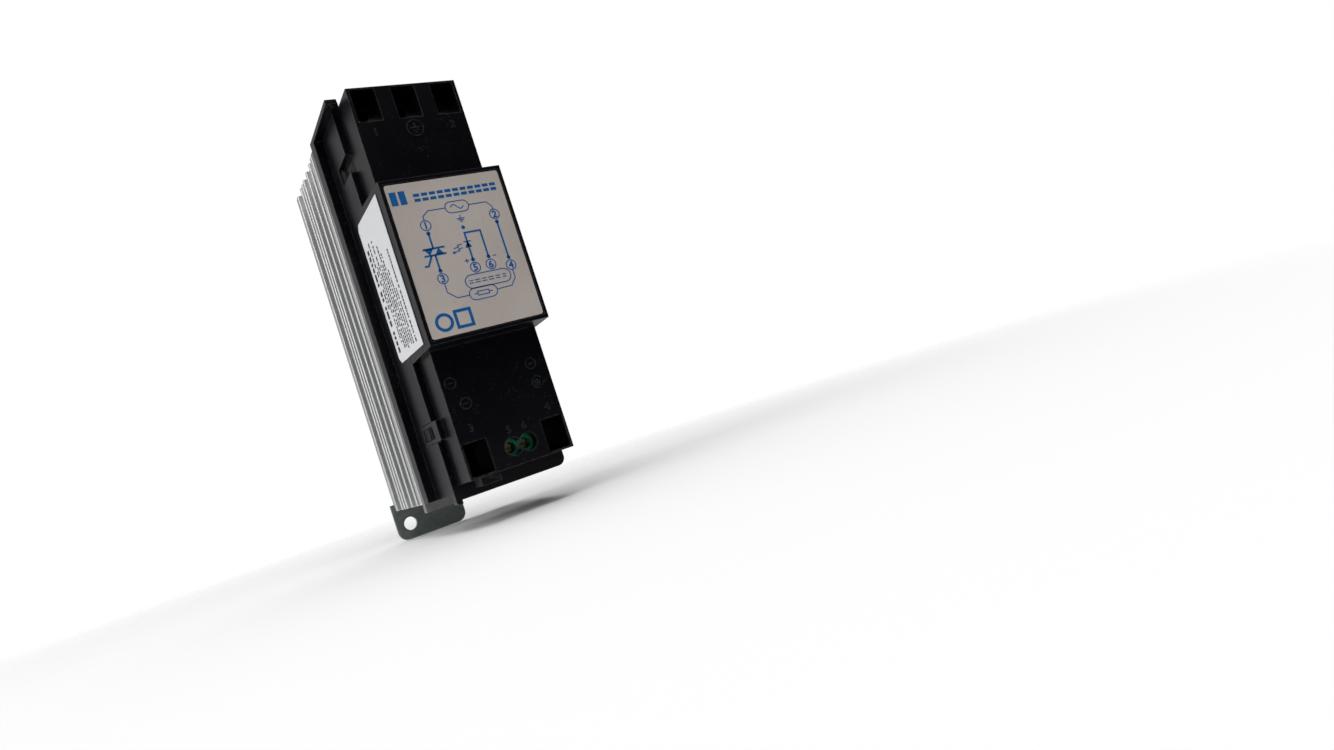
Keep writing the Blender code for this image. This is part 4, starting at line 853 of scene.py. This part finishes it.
class RELAY_OT_studio(bpy.types.Operator):
    """The pale sheet, the soft lights, the plain room and the camera"""
    bl_idname = "relay.studio"
    bl_label = "Studio"

    def area(self, name, place, aim, size, power):
        lamp = bpy.data.lights.new(name, 'AREA')
        lamp.shape = 'RECTANGLE'
        lamp.size, lamp.size_y = size
        lamp.energy = power
        light = bpy.data.objects.new(name, lamp)
        light.location = place
        light.rotation_mode = 'QUATERNION'
        light.rotation_quaternion = (Vector(aim) - Vector(place)).to_track_quat('-Z', 'Y')
        bpy.context.scene.collection.objects.link(light)

    def execute(self, context):
        scene = context.scene
        lights = scene.relay_lights
        floor_z = CAD_BOX[0].z - SHEET_DROP
        bm = bmesh.new()
        bmesh.ops.create_circle(bm, cap_ends=True, segments=96, radius=SHEET_RADIUS)
        bmesh.ops.translate(bm, vec=(0, 0, floor_z), verts=bm.verts)
        mesh = bpy.data.meshes.new("studio_sheet")
        bm.to_mesh(mesh)
        bm.free()
        sheet = bpy.data.objects.new("studio_sheet", mesh)
        scene.collection.objects.link(sheet)
        mesh.materials.append(studio_sheet(SHEET_COLOUR, *SHEET_FADE))

        middle = (0.0, -0.05, -0.005)
        self.area("side_light", (-0.75, -0.10, 0.25), middle, (0.9, 0.7), lights.side)
        self.area("front_light", (-0.10, -0.55, 0.75), middle, (0.6, 0.5), lights.front)
        self.area("sheet_light", (0.2, 0.6, 1.6), (0.1, 0.3, floor_z), (1.6, 1.6), lights.sheet)

        world = bpy.data.worlds.new("plain_room")
        world.use_nodes = True
        tree = world.node_tree
        room = tree.nodes["Background"]
        room.inputs["Color"].default_value = (1.0, 1.0, 1.0, 1.0)
        path = tree.nodes.new("ShaderNodeLightPath")
        where = tree.nodes.new("ShaderNodeTexCoord")
        toward = tree.nodes.new("ShaderNodeVectorMath")
        toward.operation = 'DOT_PRODUCT'
        toward.inputs[1].default_value = Vector(lights.bright_side).normalized()
        tree.links.new(where.outputs["Generated"], toward.inputs[0])
        around = tree.nodes.new("ShaderNodeMapRange")
        around.interpolation_type = 'SMOOTHSTEP'
        around.inputs["From Min"].default_value = ROOM_TURN[0]
        around.inputs["From Max"].default_value = ROOM_TURN[1]
        around.inputs["To Min"].default_value = lights.dim
        around.inputs["To Max"].default_value = lights.bright
        tree.links.new(toward.outputs["Value"], around.inputs["Value"])
        level = tree.nodes.new("ShaderNodeMapRange")
        level.inputs["To Max"].default_value = lights.room
        tree.links.new(path.outputs["Is Camera Ray"], level.inputs["Value"])
        tree.links.new(around.outputs["Result"], level.inputs["To Min"])
        tree.links.new(level.outputs["Result"], room.inputs["Strength"])
        scene.world = world
        scene.view_settings.view_transform = 'Standard'

        camera = bpy.data.cameras.new("camera")
        camera.lens = CAMERA_LENS
        camera.shift_x, camera.shift_y = CAMERA_SHIFT
        camera.clip_start = 0.01
        camera.clip_end = 50.0
        eye = bpy.data.objects.new("camera", camera)
        eye.location = CAMERA_PLACE
        eye.rotation_mode = 'QUATERNION'
        level_turn = CAMERA_AIM.to_track_quat('-Z', 'Y')
        eye.rotation_quaternion = level_turn @ Matrix.Rotation(-CAMERA_ROLL, 3, 'Z').to_quaternion()
        scene.collection.objects.link(eye)
        scene.camera = eye
        return {'FINISHED'}


STEPS = (RELAY_OT_finishes, RELAY_OT_shells, RELAY_OT_metalwork, RELAY_OT_screws, RELAY_OT_plate,
         RELAY_OT_side_label, RELAY_OT_marks, RELAY_OT_inside, RELAY_OT_studio)


class RELAY_PT_panel(bpy.types.Panel):
    """Buttons and settings of the relay"""
    bl_idname = "RELAY_PT_panel"
    bl_label = "Solid state relay"
    bl_space_type = 'VIEW_3D'
    bl_region_type = 'UI'
    bl_category = "Relay"

    def draw(self, context):
        for group in (context.scene.relay_colours, context.scene.relay_edges,
                      context.scene.relay_print, context.scene.relay_lights):
            box = self.layout.box()
            for name in group.__annotations__:
                box.prop(group, name)
        for step in STEPS:
            self.layout.operator(step.bl_idname)


GROUPS = {"relay_colours": RelayColours, "relay_edges": RelayEdges, "relay_print": RelayPrint,
          "relay_lights": RelayLights}


def register():
    for group in (*GROUPS.values(), *STEPS, RELAY_PT_panel):
        bpy.utils.register_class(group)
    for name, group in GROUPS.items():
        setattr(bpy.types.Scene, name, bpy.props.PointerProperty(type=group))


def unregister():
    for name in GROUPS:
        delattr(bpy.types.Scene, name)
    for group in (RELAY_PT_panel, *reversed(STEPS), *reversed(GROUPS.values())):
        bpy.utils.unregister_class(group)


def main():
    register()
    bpy.ops.relay.finishes()
    bpy.ops.relay.shells()
    bpy.ops.relay.metalwork()
    bpy.ops.relay.screws()
    bpy.ops.relay.plate()
    bpy.ops.relay.side_label()
    bpy.ops.relay.marks()
    bpy.ops.relay.inside()
    bpy.ops.relay.studio()


if __name__ == "__main__":
    main()
